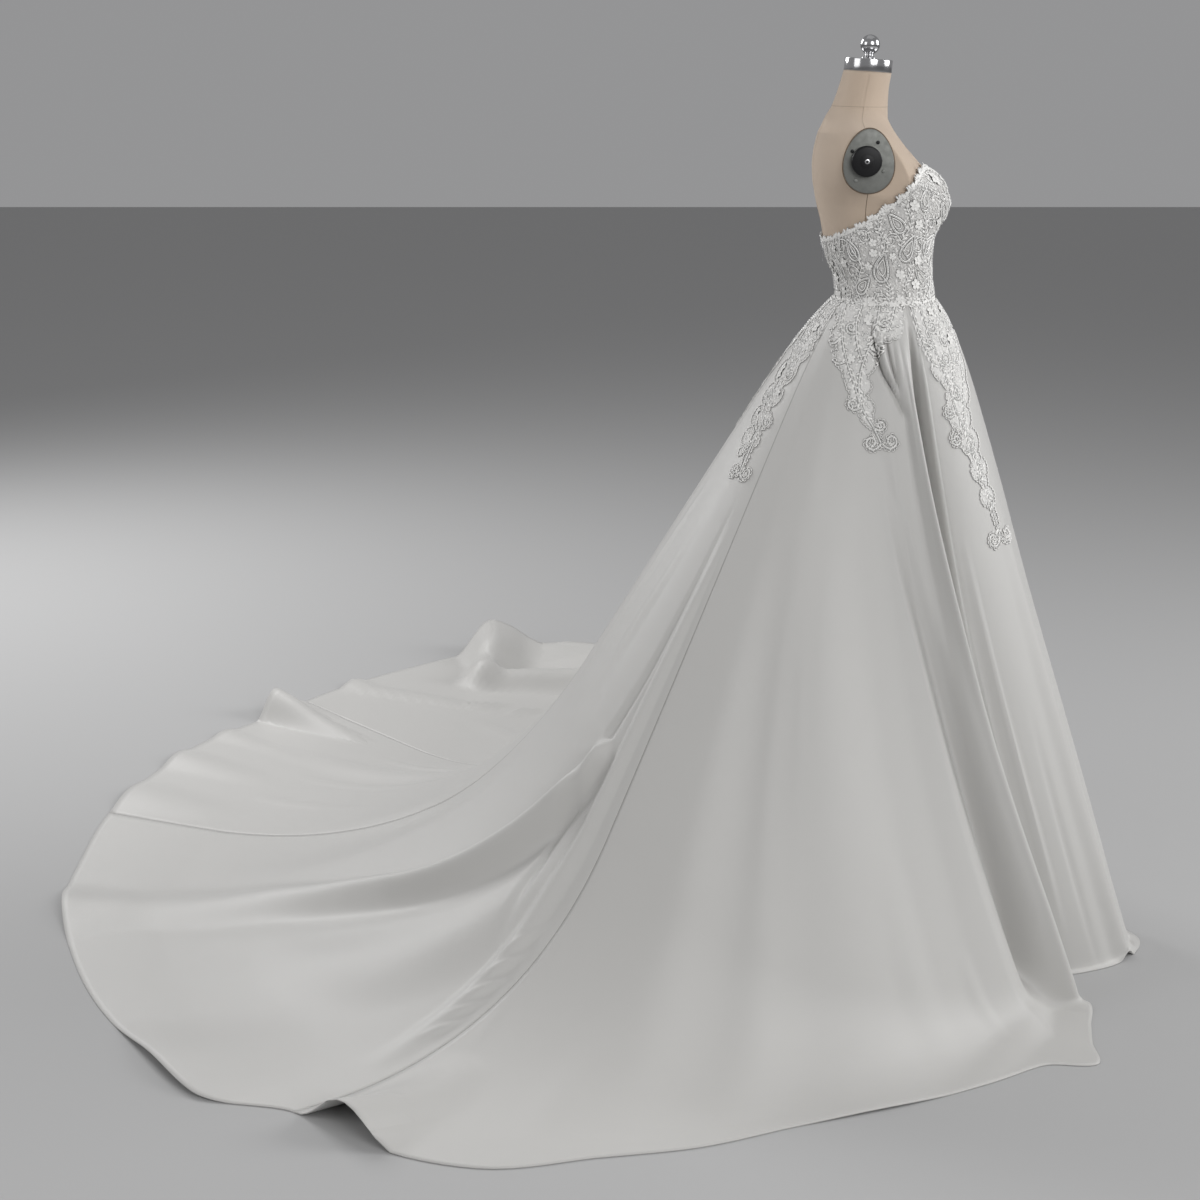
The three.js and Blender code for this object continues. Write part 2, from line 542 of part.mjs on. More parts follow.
for (const [name, goreName, rows, side] of LACE_PIECES) {
  const gore = gores.find((g) => g.name === goreName);
  const [low, high] = [curve(rows, 1), curve(rows, 2)];
  const [start, finish] = [rows[0][0], rows[rows.length - 1][0]];
  const seam = side > 0 ? 0 : (gore.first >= 0 ? 360 : 0);
  const length = skirtPath(seam + side * (rows[0][1] + rows[0][2]) / 2).length;
  const marks = [start, ...ROWS.map((share) => share * length), finish]
    .filter((value) => value >= start && value <= finish).sort((p, q) => p - q);
  const stations = [];
  marks.slice(1).forEach((mark, k) => {
    const swing = Math.max(Math.abs(low(mark) - low(marks[k])), Math.abs(high(mark) - high(marks[k])));
    const parts = Math.max(1, Math.round((mark - marks[k]) / LACE_STEP), Math.ceil(swing / LACE_SWING));
    for (let n = 0; n < parts; n += 1) stations.push(marks[k] + (mark - marks[k]) * n / parts);
  });
  stations.push(finish);
  const edges = stations.map((at) => [seam + side * low(at), seam + side * high(at)].sort((p, q) => p - q));
  const least = Math.min(...edges.map((edge) => edge[0]));
  const most = Math.max(...edges.map((edge) => edge[1]));
  const columns = [least, ...gore.angles.filter((angle) => angle > least + 0.4 && angle < most - 0.4), most];
  const grid = (distance) => columns.map((angle) => stations.map((at, k) => onGore(
    gore, clamp(angle, edges[k][0], edges[k][1]), at / length, distance)));
  const whole = (i, j) => [j, j + 1].every((k) => columns[i] > edges[k][0] && columns[i + 1] < edges[k][1]);
  const open = (i, j) => i % 2 === 1 && j % 2 === 1 && j < stations.length - 2
    && whole(i - 1, j) && whole(i + 1, j) && whole(i, j);
  add(name, shell(grid(LACE_CLEAR + LACE_THICK), grid(LACE_CLEAR), (i, j) => !open(i, j)), lace);
}

// Bodice
function bodiceTop(angle) {
  const round = turn(angle);
  const mirrored = round > 180 ? 360 - round : round;
  return neckline(mirrored) + POINT_HEIGHT * Math.abs(Math.cos(Math.PI * mirrored / POINT_SPACING));
}
for (const [name, first, last, columns] of BODICE) {
  const angles = Array.from({ length: columns + 1 }, (_, i) => first + (last - first) * i / columns);
  const bottom = WAIST_HEIGHT + SEAM_GAP / 2;
  const grid = (grow) => angles.map((angle) => {
    const top = bodiceTop(angle);
    return Array.from({ length: BODICE_ROWS + 1 }, (_, j) => {
      const z = bottom + (top - bottom) * j / BODICE_ROWS;
      const out = grow + CUP_EASE * clamp((z - CUP_EASE_FROM) / CUP_EASE_RISE, 0, 1);
      const p = sectionPoint(angle, z, out);
      const edge = angle === first ? 1 : (angle === last ? -1 : 0);
      if (edge) {
        const centreBack = turn(angle) === 180;
        const beside = sectionPoint(angle + edge, z, out).sub(p).normalize();
        p.addScaledVector(beside, centreBack ? ZIP_HALF_WIDTH + SEAM_GAP : SEAM_GAP / 2);
      }
      return p;
    });
  });
  add(name, shell(grid(FORM_GAP + BODICE_WALL), grid(FORM_GAP)), lace);
}

// Closed body from level rings
function loft(rings) {
  const around = rings[0].length;
  const positions = [];
  for (const ring of rings) for (const p of ring) positions.push(p.x, p.y, p.z);
  const faces = [];
  for (let k = 0; k < rings.length - 1; k += 1) {
    for (let i = 0; i < around; i += 1) {
      const j = (i + 1) % around;
      const [a, b, c, d] = [k * around + i, k * around + j, (k + 1) * around + j, (k + 1) * around + i];
      faces.push(a, b, c, a, c, d);
    }
  }
  for (const [ring, flip] of [[0, true], [rings.length - 1, false]]) {
    const centre = positions.length / 3;
    const middle = rings[ring].reduce((sum, p) => sum.add(p), new THREE.Vector3()).divideScalar(around);
    positions.push(middle.x, middle.y, middle.z);
    for (let i = 0; i < around; i += 1) {
      const [a, b] = [ring * around + i, ring * around + (i + 1) % around];
      faces.push(...(flip ? [centre, b, a] : [centre, a, b]));
    }
  }
  return solid(positions, faces);
}
function lathe(profile, x, segments, tilt = 0, pivot = 0) {
  return loft(profile.map(([radius, z]) => Array.from({ length: segments }, (_, i) => {
    const angle = 2 * Math.PI * i / segments;
    const p = new THREE.Vector3(radius * Math.cos(angle), radius * Math.sin(angle), z - pivot);
    p.applyAxisAngle(new THREE.Vector3(0, 1, 0), tilt);
    return p.add(new THREE.Vector3(x, 0, pivot));
  })));
}

// Form
const FORM_HEIGHTS = [
  905, 909, 970, 1050, 1120, 1165, 1190, 1207, 1224, 1240, 1256, 1275, 1300, 1325, 1350, 1372, 1392, 1415,
  1440, 1460, 1474, 1486, 1496, 1507, 1525, 1550, 1578,
];
const FORM_COLUMNS = 30;
const bottomInset = (z) => (z <= FORM_BOTTOM ? 0.93 : 1);
add('form_torso', loft(FORM_HEIGHTS.map((z) => Array.from({ length: FORM_COLUMNS }, (_, i) => {
  const p = formPoint(360 * i / FORM_COLUMNS, z);
  p.x *= bottomInset(z);
  p.y *= bottomInset(z);
  return p;
}))), linen);

const tilt = NECK_TILT * DEG;
const capBottom = NECK_TOP + TOUCH;
const capTop = capBottom + CAP_HEIGHT;
const capOuter = CAP_RADIUS + CAP_OVERHANG;
add('neck_cap', lathe([
  [capOuter, capBottom], [capOuter, capTop - CAP_EDGE], [capOuter - CAP_EDGE, capTop],
], NECK_CENTRE, 32, tilt, NECK_TOP), chrome);
const ball = [];
for (let angle = BALL_FROM; angle <= 90; angle += BALL_STEP) {
  const radius = Math.max(BALL_RADIUS * Math.cos(angle * DEG), BALL_TIP);
  ball.push([radius, BALL_HEIGHT + BALL_RADIUS * Math.sin(angle * DEG)]);
}
add('finial', lathe([
  ...FINIAL_STEM.map(([radius, above]) => [radius, capTop + above]),
  [STEM_RADIUS, BALL_HEIGHT - BALL_RADIUS * Math.cos(Math.asin(STEM_RADIUS / BALL_RADIUS)) - TOUCH], ...ball,
], NECK_CENTRE, 12, tilt, NECK_TOP), chrome);

function egg(count, scale) {
  return Array.from({ length: count }, (_, i) => {
    const angle = 2 * Math.PI * i / count;
    const narrow = 1 - PLATE_NARROWING * Math.sin(angle);
    return [PLATE_CENTRE_X + scale * PLATE_HALF_WIDTH * narrow * Math.cos(angle),
      PLATE_CENTRE_Z + scale * PLATE_HALF_HEIGHT * Math.sin(angle)];
  });
}
for (const [suffix, side] of [['right', -1], ['left', 1]]) {
  const level = (points, away) => points.map(([x, z]) => new THREE.Vector3(x, side * (SIDE_CUT + away), z));
  add(`armhole_plate_${suffix}`, loft([
    level(egg(30, 1), TOUCH), level(egg(30, 1), PLATE_THICK - PLATE_RIM),
    level(egg(30, 1 - PLATE_RIM / PLATE_HALF_WIDTH), PLATE_THICK),
  ]), steel);
  const disc = (radius, away) => level(Array.from({ length: 22 }, (_, i) => {
    const angle = 2 * Math.PI * i / 22;
    return [KNOB_CENTRE_X + radius * Math.cos(angle), KNOB_CENTRE_Z + radius * Math.sin(angle)];
  }), away);
  const foot = PLATE_THICK + TOUCH;
  add(`armhole_knob_${suffix}`, loft([
    disc(KNOB_RADIUS, foot),
    ...KNOB_ROUNDING.map(([inset, below]) => disc(KNOB_RADIUS - inset, foot + KNOB_DEPTH - below)),
  ]), black);
}

// Stand
add('stand_base', lathe([
  [BASE_RADIUS, 0], ...BASE_PROFILE.map(([inset, below]) => [BASE_RADIUS - inset, BASE_HEIGHT - below]),
], 0, 36), chrome);
add('stand_pole', lathe([
  [POLE_FOOT_RADIUS, BASE_HEIGHT + TOUCH], [POLE_FOOT_RADIUS, BASE_HEIGHT + POLE_FOOT_HEIGHT],
  [POLE_RADIUS, BASE_HEIGHT + POLE_FOOT_HEIGHT + POLE_FOOT_RADIUS - POLE_RADIUS],
  [POLE_RADIUS, FORM_BOTTOM - TOUCH],
], 0, 16), chrome);

// Zip at the centre back: tape, slider and pull tab
const zipPoint = (z, y, out) => {
  const p = sectionPoint(180, z, FORM_GAP + out);
  return new THREE.Vector3(p.x, y, z);
};
const zipHeights = Array.from({ length: ZIP_ROWS + 1 }, (_, k) => (
  WAIST_HEIGHT + SEAM_GAP / 2 + (ZIP_HEIGHT - SEAM_GAP) * k / ZIP_ROWS));
const zipGrid = (out) => [-1, 0, 1].map(
  (part) => zipHeights.map((z) => zipPoint(z, part * ZIP_HALF_WIDTH, out)));
add('zip_tape', shell(zipGrid(BODICE_WALL), zipGrid(0)), tape);

function box(x0, x1, y0, y1, z0, z1) {
  const geometry = new THREE.BoxGeometry(x1 - x0, y1 - y0, z1 - z0);
  geometry.translate((x0 + x1) / 2, (y0 + y1) / 2, (z0 + z1) / 2);
  return geometry;
}
function extrudeAlongY(points, hole, width) {
  const shape = new THREE.Shape(points.map(([x, z]) => new THREE.Vector2(x, z)));
  if (hole) shape.holes.push(new THREE.Path(hole.map(([x, z]) => new THREE.Vector2(x, z))));
  const geometry = new THREE.ExtrudeGeometry(shape, { depth: width, bevelEnabled: false });
  geometry.rotateX(Math.PI / 2);
  geometry.translate(0, width / 2, 0);
  return geometry;
}
const wasm = await Module();
wasm.setup();
function toManifold(geometry) {
  const position = geometry.getAttribute('position');
  const index = geometry.index ? Array.from(geometry.index.array) : [...Array(position.count).keys()];
  const seen = new Map();
  const points = [];
  const merged = index.map((vertex) => {
    const xyz = [position.getX(vertex), position.getY(vertex), position.getZ(vertex)];
    const key = xyz.map((value) => Math.round(value * 1e4)).join(',');
    if (!seen.has(key)) {
      seen.set(key, points.length / 3);
      points.push(...xyz);
    }
    return seen.get(key);
  });
  return new wasm.Manifold(new wasm.Mesh({
    numProp: 3, vertProperties: new Float32Array(points), triVerts: new Uint32Array(merged),
  }));
}
function fromManifold(body) {
  const mesh = body.getMesh();
  return solid(Array.from(mesh.vertProperties), Array.from(mesh.triVerts));
}
const PULL = { width: 4.6, long: 17, thick: 0.9, bar: 0.95, slot: 2.5, slotLong: 3.6, taper: 3, corner: 1.2 };
const LOOP = {
  reach: 3, strap: 1, width: 1.8, below: 2, above: 4.6, leg: 1.2, round: 1.4, chin: 0.8, root: 0.5,
};
const SLIDER = { halfWidth: 3.2, thick: 1.6, below: 4.6, above: 5.4, clear: 0.3 };
const AXIS_CLEAR = 1;            // pull axis to the loop's outer strap
const outerBack = Math.min(...[SLIDER.above, 0, -SLIDER.below].map(
  (dz) => zipPoint(PULL_AXIS_HEIGHT + dz, 0, BODICE_WALL).x));
const sliderInner = outerBack - SLIDER.clear;
const sliderFace = sliderInner - SLIDER.thick;
const axisX = sliderFace - LOOP.reach + LOOP.strap + AXIS_CLEAR;
const sliderBody = box(sliderFace, sliderInner, -SLIDER.halfWidth, SLIDER.halfWidth,
  PULL_AXIS_HEIGHT - SLIDER.below, PULL_AXIS_HEIGHT + SLIDER.above);
const loopOut = sliderFace - LOOP.reach;
const [loopLow, loopHigh] = [PULL_AXIS_HEIGHT - LOOP.below, PULL_AXIS_HEIGHT + LOOP.above];
const loopBody = extrudeAlongY([
  [sliderFace + LOOP.root, loopHigh], [loopOut + LOOP.round, loopHigh], [loopOut, loopHigh - LOOP.round],
  [loopOut, loopLow + LOOP.chin], [loopOut + LOOP.chin, loopLow], [sliderFace + LOOP.root, loopLow],
], [
  [sliderFace, loopLow + LOOP.leg], [loopOut + LOOP.strap, loopLow + LOOP.leg],
  [loopOut + LOOP.strap, loopHigh - LOOP.leg], [sliderFace, loopHigh - LOOP.leg],
], LOOP.width);
add('zip_slider', fromManifold(toManifold(sliderBody).add(toManifold(loopBody))), nickel);

const pullShape = new THREE.Shape();
const half = PULL.width / 2;
pullShape.moveTo(half, PULL.bar / 2);
pullShape.lineTo(-half, PULL.bar / 2);
pullShape.lineTo(-half, PULL.taper - PULL.long);
pullShape.lineTo(PULL.corner - half, -PULL.long);
pullShape.lineTo(half - PULL.corner, -PULL.long);
pullShape.lineTo(half, PULL.taper - PULL.long);
const slot = new THREE.Path();
slot.moveTo(-PULL.slot / 2, -PULL.bar / 2);
slot.lineTo(-PULL.slot / 2, -PULL.bar / 2 - PULL.slotLong);
slot.lineTo(PULL.slot / 2, -PULL.bar / 2 - PULL.slotLong);
slot.lineTo(PULL.slot / 2, -PULL.bar / 2);
pullShape.holes.push(slot);
const pull = new THREE.ExtrudeGeometry(pullShape, { depth: PULL.thick, bevelEnabled: false });
pull.rotateX(Math.PI / 2);
pull.rotateZ(Math.PI / 2);
pull.translate(axisX - PULL.thick / 2, 0, PULL_AXIS_HEIGHT);
add('zip_pull', pull, nickel);

export default dress;
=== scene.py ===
import bpy, math
import numpy as np
from mathutils import Matrix, Vector


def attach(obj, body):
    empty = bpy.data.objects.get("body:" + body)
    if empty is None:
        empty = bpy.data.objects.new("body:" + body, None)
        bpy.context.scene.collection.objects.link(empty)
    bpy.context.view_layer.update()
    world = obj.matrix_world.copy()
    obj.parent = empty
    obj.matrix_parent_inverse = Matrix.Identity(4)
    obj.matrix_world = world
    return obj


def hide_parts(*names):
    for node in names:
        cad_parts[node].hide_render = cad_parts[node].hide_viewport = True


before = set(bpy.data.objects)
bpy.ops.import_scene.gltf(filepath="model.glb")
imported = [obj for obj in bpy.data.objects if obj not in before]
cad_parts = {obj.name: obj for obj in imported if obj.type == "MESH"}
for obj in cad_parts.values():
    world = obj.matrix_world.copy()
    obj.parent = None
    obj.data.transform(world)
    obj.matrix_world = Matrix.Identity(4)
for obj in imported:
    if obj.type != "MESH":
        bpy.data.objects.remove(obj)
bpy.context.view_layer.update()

DRESS = "dress_on_form"
MM = 0.001
rng = np.random.default_rng(7)

# The dress's sizes in millimetres, the same as in the part
WAIST_HEIGHT = 1200.0
CLOTH = 2.0
BODICE_WALL = 2.4
FORM_GAP = 0.8
WAIST_OUT = 3.0
HIP_FULLNESS = 30.0
# Where down the fall the hips start to fill the skirt, how that fades, and how the hem swings backwards
HIP_START, HIP_FADE = 0.05, 1.5
SWING_GROWTH = 1.15
NECK_TOP = 1578.0
NECK_TILT = math.radians(4)
NECK_TILT_FROM = 1500.0
NECK_CENTRE = -39.0
SIDE_CUT = 150.0
CUP_EASE, CUP_EASE_FROM, CUP_EASE_RISE = 1.6, 1325.0, 35.0
ROUNDNESS = 2.15
BUST_SIDE, BUST_SPREAD, FORM_BUST = 58.0, 54.0, 0.5
# Armhole plates: centre, half width and half height, and how much wider they are below than above
PLATE_X, PLATE_Z, PLATE_WIDE, PLATE_HIGH, PLATE_EGG = -50.9, 1437.0, 41.2, 51.8, 0.17

# Skirt: waist angle, hem angle, hem radius, foot radius, ease of the bend at the floor
HEM = np.array([
    (0, 0, 520, 504, 16), (20, 7, 500, 486, 15), (40, 14, 462, 448, 14), (56, 19.5, 420, 406, 12),
    (66, 24, 382, 368, 12), (74, 28, 335, 322, 12), (78, 31.5, 330, 312, 12), (82, 35, 425, 410, 15),
    (86, 38.5, 465, 436, 20), (92, 45.5, 499, 405, 35), (97, 52, 545, 415, 60), (101, 57, 600, 430, 80),
    (107, 65, 560, 432, 80), (114, 77, 588, 455, 100), (122, 91, 645, 500, 120), (130, 104, 728, 555, 150),
    (137, 114, 850, 620, 200), (143, 121.5, 945, 665, 240), (147.5, 128.5, 1070, 705, 300),
    (152, 138, 1145, 735, 350), (155, 145.5, 1175, 760, 380), (158, 152, 1295, 780, 410),
    (161.5, 160, 1335, 800, 450), (165, 169, 1400, 815, 490), (168.5, 177, 1462, 820, 520),
    (172.5, 186, 1545, 825, 560), (176.5, 195, 1615, 835, 600), (180, 203.5, 1705, 850, 620),
    (185, 212, 1790, 860, 640), (192, 220, 1868, 870, 640), (200, 226, 1900, 870, 640),
    (208, 233, 1985, 870, 620), (216, 241, 2070, 865, 600), (223, 248, 2130, 850, 560),
    (230, 255, 1950, 810, 500), (238, 264, 1560, 740, 420), (247, 276, 1180, 650, 320),
    (256, 288, 900, 560, 200), (264, 300, 700, 490, 110), (270, 310, 600, 430, 60),
    (275, 318, 520, 410, 35), (279, 324, 440, 425, 20), (283, 328.5, 335, 320, 12),
    (290, 333, 372, 358, 12), (303, 340, 425, 411, 12), (320, 346, 465, 451, 14), (340, 353, 500, 486, 15),
], float)

# Form: height, front, back, half width
BODY = np.array([
    (905, 80, -98, 112), (960, 93, -117, 129), (1020, 94, -119, 131), (1080, 91, -111, 128),
    (1130, 87, -97, 122), (1170, 84, -85, 116), (1200, 83, -78, 112), (1235, 77, -82, 112),
    (1268, 75, -96, 118), (1300, 77, -105, 125), (1330, 84, -111, 131), (1360, 87, -119, 138),
    (1380, 79, -123, 150), (1400, 68, -126, 166), (1425, 48, -127, 175), (1447, 32, -125, 174),
    (1462, 20, -122, 166), (1478, 8, -118, 150), (1490, 1, -113, 118), (1503, -4, -108, 84),
    (1520, -4, -98, 60), (1550, -3, -87, 46), (1578, 1, -79, 40),
], float)
BUST = np.array([(1300, 0), (1327, 5), (1339, 11), (1361, 15), (1378, 17.5), (1399, 19), (1415, 15.5),
                 (1430, 9), (1455, 0)], float)
NECKLINE = np.array([(0, 1376), (10, 1392), (18, 1414), (25, 1423), (33, 1420), (44, 1413), (56, 1403),
                     (66, 1392), (76, 1379), (90, 1361), (102, 1344), (120, 1325), (145, 1308), (165, 1301),
                     (180, 1298)], float)

# Folds that run down the skirt: points of path length, waist angle, half width in degrees, height.
# A fold whose last height is 0 ends there, and any other runs on to the hem.
FOLDS = [
    # deep pleats and the rolled edges beside them
    [(30, 78, 3, 0), (110, 78, 5.5, -20), (180, 78, 6.2, -29), (300, 78, 6.5, -44), (450, 78, 6.5, -50),
     (700, 78, 6.5, -50), (1100, 78, 5.5, -30), (1400, 78, 5, -20)],
    [(60, 86, 3, 0), (250, 86, 4, 12), (600, 85, 4.5, 18), (1000, 85, 4.5, 18), (1180, 86, 4, 14),
     (1330, 87, 4, 0)],
    [(230, 106, 5, 0), (420, 99, 6, -8), (700, 94, 6, -16), (1000, 93, 5, -24), (1150, 93, 4.5, -30),
     (1215, 93, 4, 0)],
    [(60, 274, 3, 0), (250, 274, 4, 12), (600, 275, 4.5, 18), (1000, 275, 4.5, 18), (1180, 274, 4, 12),
     (1330, 273, 4, 0)],
    [(230, 256, 5, 0), (480, 260, 6, -10), (700, 265, 6, -18), (1000, 266, 5, -24), (1180, 266, 4.5, -20),
     (1260, 266, 4, 0)],
    [(30, 282, 3, 0), (110, 282, 5.5, -20), (180, 282, 6.2, -29), (300, 282, 6.5, -43), (450, 282, 6.5, -50),
     (700, 282, 6.5, -50), (1100, 282, 5.5, -32), (1400, 282, 5, -22)],
    # unpressed pleats at the hips
    [(22, 112, 1.5, 0), (45, 111, 2.1, -9), (75, 107.6, 2.4, -14), (105, 103.8, 2.5, -15),
     (150, 94.5, 2.7, -11), (200, 88, 2.8, 0)],
    [(36, 106.5, 2.0, 0), (70, 102.8, 2.5, 9), (105, 99.0, 2.6, 10), (150, 91.4, 2.6, 0)],
    [(40, 99.8, 1.3, 0), (75, 97.4, 1.7, -8), (112, 94.6, 1.8, -8), (150, 91.5, 1.8, 0)],
    [(50, 91.5, 2.4, 0), (110, 89.8, 3.0, 6), (220, 88, 3.0, 5), (330, 88, 3, 0)],
    [(24, 248.5, 1.5, 0), (48, 249.5, 2.1, -9), (80, 253, 2.4, -13), (112, 257, 2.5, -14),
     (160, 266, 2.7, -10), (210, 272, 2.8, 0)],
    [(40, 254, 2.0, 0), (74, 257.6, 2.5, 8), (108, 261.2, 2.6, 9), (155, 268.6, 2.6, 0)],
    [(34, 262, 1.3, 0), (82, 264, 1.8, -8), (124, 266, 1.9, -7), (170, 268, 1.8, 0)],
    # front panel
    [(380, 62, 2, 0), (620, 61.5, 2.6, 6), (950, 60.5, 2.6, 7), (1180, 60, 2.4, 0)],
    [(480, 69, 2, 0), (700, 69, 2.2, 6), (1000, 68.5, 2.2, 7), (1160, 68, 2.4, 0)],
    [(420, 299, 2, 0), (640, 299, 2.6, 6), (980, 300, 2.6, 7), (1200, 301, 2.4, 0)],
    [(300, 26, 8, 0), (700, 27, 9, 9), (1300, 28, 8, 16)],
    [(350, 5, 8, 0), (800, 4, 9, -7), (1300, 3, 8, -12)],
    [(300, 335, 8, 0), (700, 334, 9, 10), (1300, 332, 8, 15)],
    # side panels
    [(300, 128, 10, 0), (800, 126, 11, 14), (1300, 125, 10, 10), (1500, 125, 9, 0)],
    [(400, 142, 6, 0), (900, 141, 7, -12), (1400, 141, 6, -6), (1500, 141, 6, 0)],
    [(300, 236, 8, 0), (800, 238, 9, 14), (1500, 240, 8, 10), (1900, 240, 8, 0)],
    [(1100, 251, 3, 0), (1400, 250, 3.2, 22), (1700, 249, 3, 30)],
    [(1000, 259, 3, 0), (1250, 258, 3, 16), (1500, 258, 3, 22)],
    # rolls beside the side seams, and the arch of the hem at the right one
    [(420, 157.3, 1.2, 0), (700, 157.4, 1.3, 9), (1100, 157.2, 1.1, 12), (1400, 156.6, 1, 10),
     (1640, 156.2, 1, 0)],
    [(380, 158.8, 0.9, 0), (690, 159.6, 0.9, -5), (910, 160.9, 1, -8), (1110, 160, 0.9, -7),
     (1300, 157.9, 0.7, 0)],
    [(420, 206.2, 1.5, 0), (800, 206.4, 1.5, 9), (1300, 206.2, 1.4, 11), (1700, 206, 1.2, 0)],
    [(1480, 153.2, 1.4, 0), (1600, 153, 1.8, 18), (1780, 152.8, 2.2, 62)],
    [(1650, 160, 3, 0), (1900, 160, 4, 20)],
    # long ridge of the train and the hollow before it
    [(845, 160.4, 1.2, 0), (875, 160.4, 1.6, 26), (1000, 162.2, 1.9, 32), (1137, 164.4, 2.0, 32),
     (1242, 166.1, 2.0, 32), (1367, 168.3, 2.0, 31), (1540, 171.0, 2.0, 27), (1733, 172.5, 2.1, 20),
     (1928, 172.5, 2.2, 15), (2080, 171.4, 2.2, 12)],
    [(860, 158.9, 1.0, 0), (930, 159.3, 1.4, -9), (1000, 160.6, 1.8, -11), (1137, 162.6, 2.1, -12),
     (1242, 164.2, 2.2, -12), (1367, 166.4, 2.2, -11), (1540, 169.2, 2.2, -8), (1733, 170.9, 2.1, -4),
     (1900, 171.2, 1.9, 0)],
    [(1000, 157.6, 2, 0), (1200, 159.6, 3, 10), (1500, 163, 4, 14), (1700, 166, 4, 0)],
    # soft folds of the train
    [(1000, 178, 3, 0), (1400, 178.6, 3, -12), (1900, 178, 3, 0)],
    [(900, 186, 5, 0), (1300, 188, 6, 14), (1800, 190, 5, 0)],
    [(1300, 196, 4, 0), (1800, 195, 4, 12), (2300, 194, 3, 0)],
    [(900, 205, 6, 0), (1500, 206, 6, -14), (2000, 207, 5, 0)],
    [(1960, 173, 1.5, 0), (2120, 172.6, 2, 18)],
    # small folds beside the deep pleats
    [(60, 71.6, 1.2, 0), (140, 71.2, 1.8, 7), (330, 71.0, 1.9, 9), (640, 71.4, 1.9, 8), (960, 72, 1.8, 0)],
    [(90, 85.2, 1.2, 0), (180, 85.4, 1.8, 6), (420, 85.4, 1.9, 8), (760, 85.0, 1.9, 0)],
    [(140, 77.6, 2.0, 0), (230, 77.4, 3.4, -12), (420, 77.6, 3.8, -14), (640, 78, 3.4, -8), (800, 78, 3, 0)],
    [(360, 104, 3, 0), (620, 97, 4, -6), (900, 94, 4, -9), (1120, 93, 3.4, -10), (1200, 93, 3, 0)],
    [(520, 88.5, 1.6, 0), (760, 88.6, 2.2, 6), (1020, 88.6, 2.2, 7), (1180, 89.5, 2.0, 0)],
    # small rises of the far hem
    [(2000, 182, 2, 0), (2250, 182, 2.4, 12)],
    [(2050, 187.5, 2, 0), (2350, 187.5, 2.4, 14)],
    [(2150, 193.5, 2, 0), (2450, 193.5, 2.4, 10)],
    # raised folds of the far hem
    [(2120, 202.4, 1.6, 0), (2300, 201.6, 2.4, 30), (2420, 201.2, 2.9, 62), (2520, 200.8, 3.1, 80)],
    [(2300, 204.4, 1.2, 0), (2420, 203.8, 1.8, 12), (2520, 203.4, 2.2, 18)],
    [(2120, 218, 1.3, 0), (2280, 214.5, 1.5, 12), (2500, 210.5, 1.6, 16)],
    [(2330, 218.5, 1.8, 0), (2430, 220, 2.6, 46), (2560, 222, 2.9, 78), (2720, 223.4, 3.1, 94)],
    [(2450, 222, 1.4, 0), (2560, 224.2, 1.9, 22), (2720, 225.8, 2.1, 36)],
    [(2150, 233, 9, 0), (2350, 232, 9, 30), (2600, 231, 8, 60)],
    [(1900, 244, 5, 0), (2100, 243, 6, 18), (2300, 243, 6, 40)],
]
# Folds that run round the skirt: points of waist angle, path length, half width, height
ROLLS = [
    [(217, 2420, 60, 0), (219.5, 2385, 75, 40), (223, 2330, 85, 48), (229, 2250, 90, 44), (236, 2080, 80, 30),
     (242, 1900, 70, 0)],
    [(219, 2560, 60, 0), (222, 2480, 80, -20), (229, 2400, 90, -20), (236, 2220, 80, 0)],
    [(214.5, 2240, 20, 0), (217, 2215, 28, 12), (219.5, 2190, 20, 0)],
    [(217, 2110, 20, 0), (219, 2130, 28, 12), (222, 2120, 20, 0)],
    [(93, 1225, 40, 0), (98, 1240, 50, 5), (108, 1300, 60, 6), (118, 1380, 60, 0)],
]
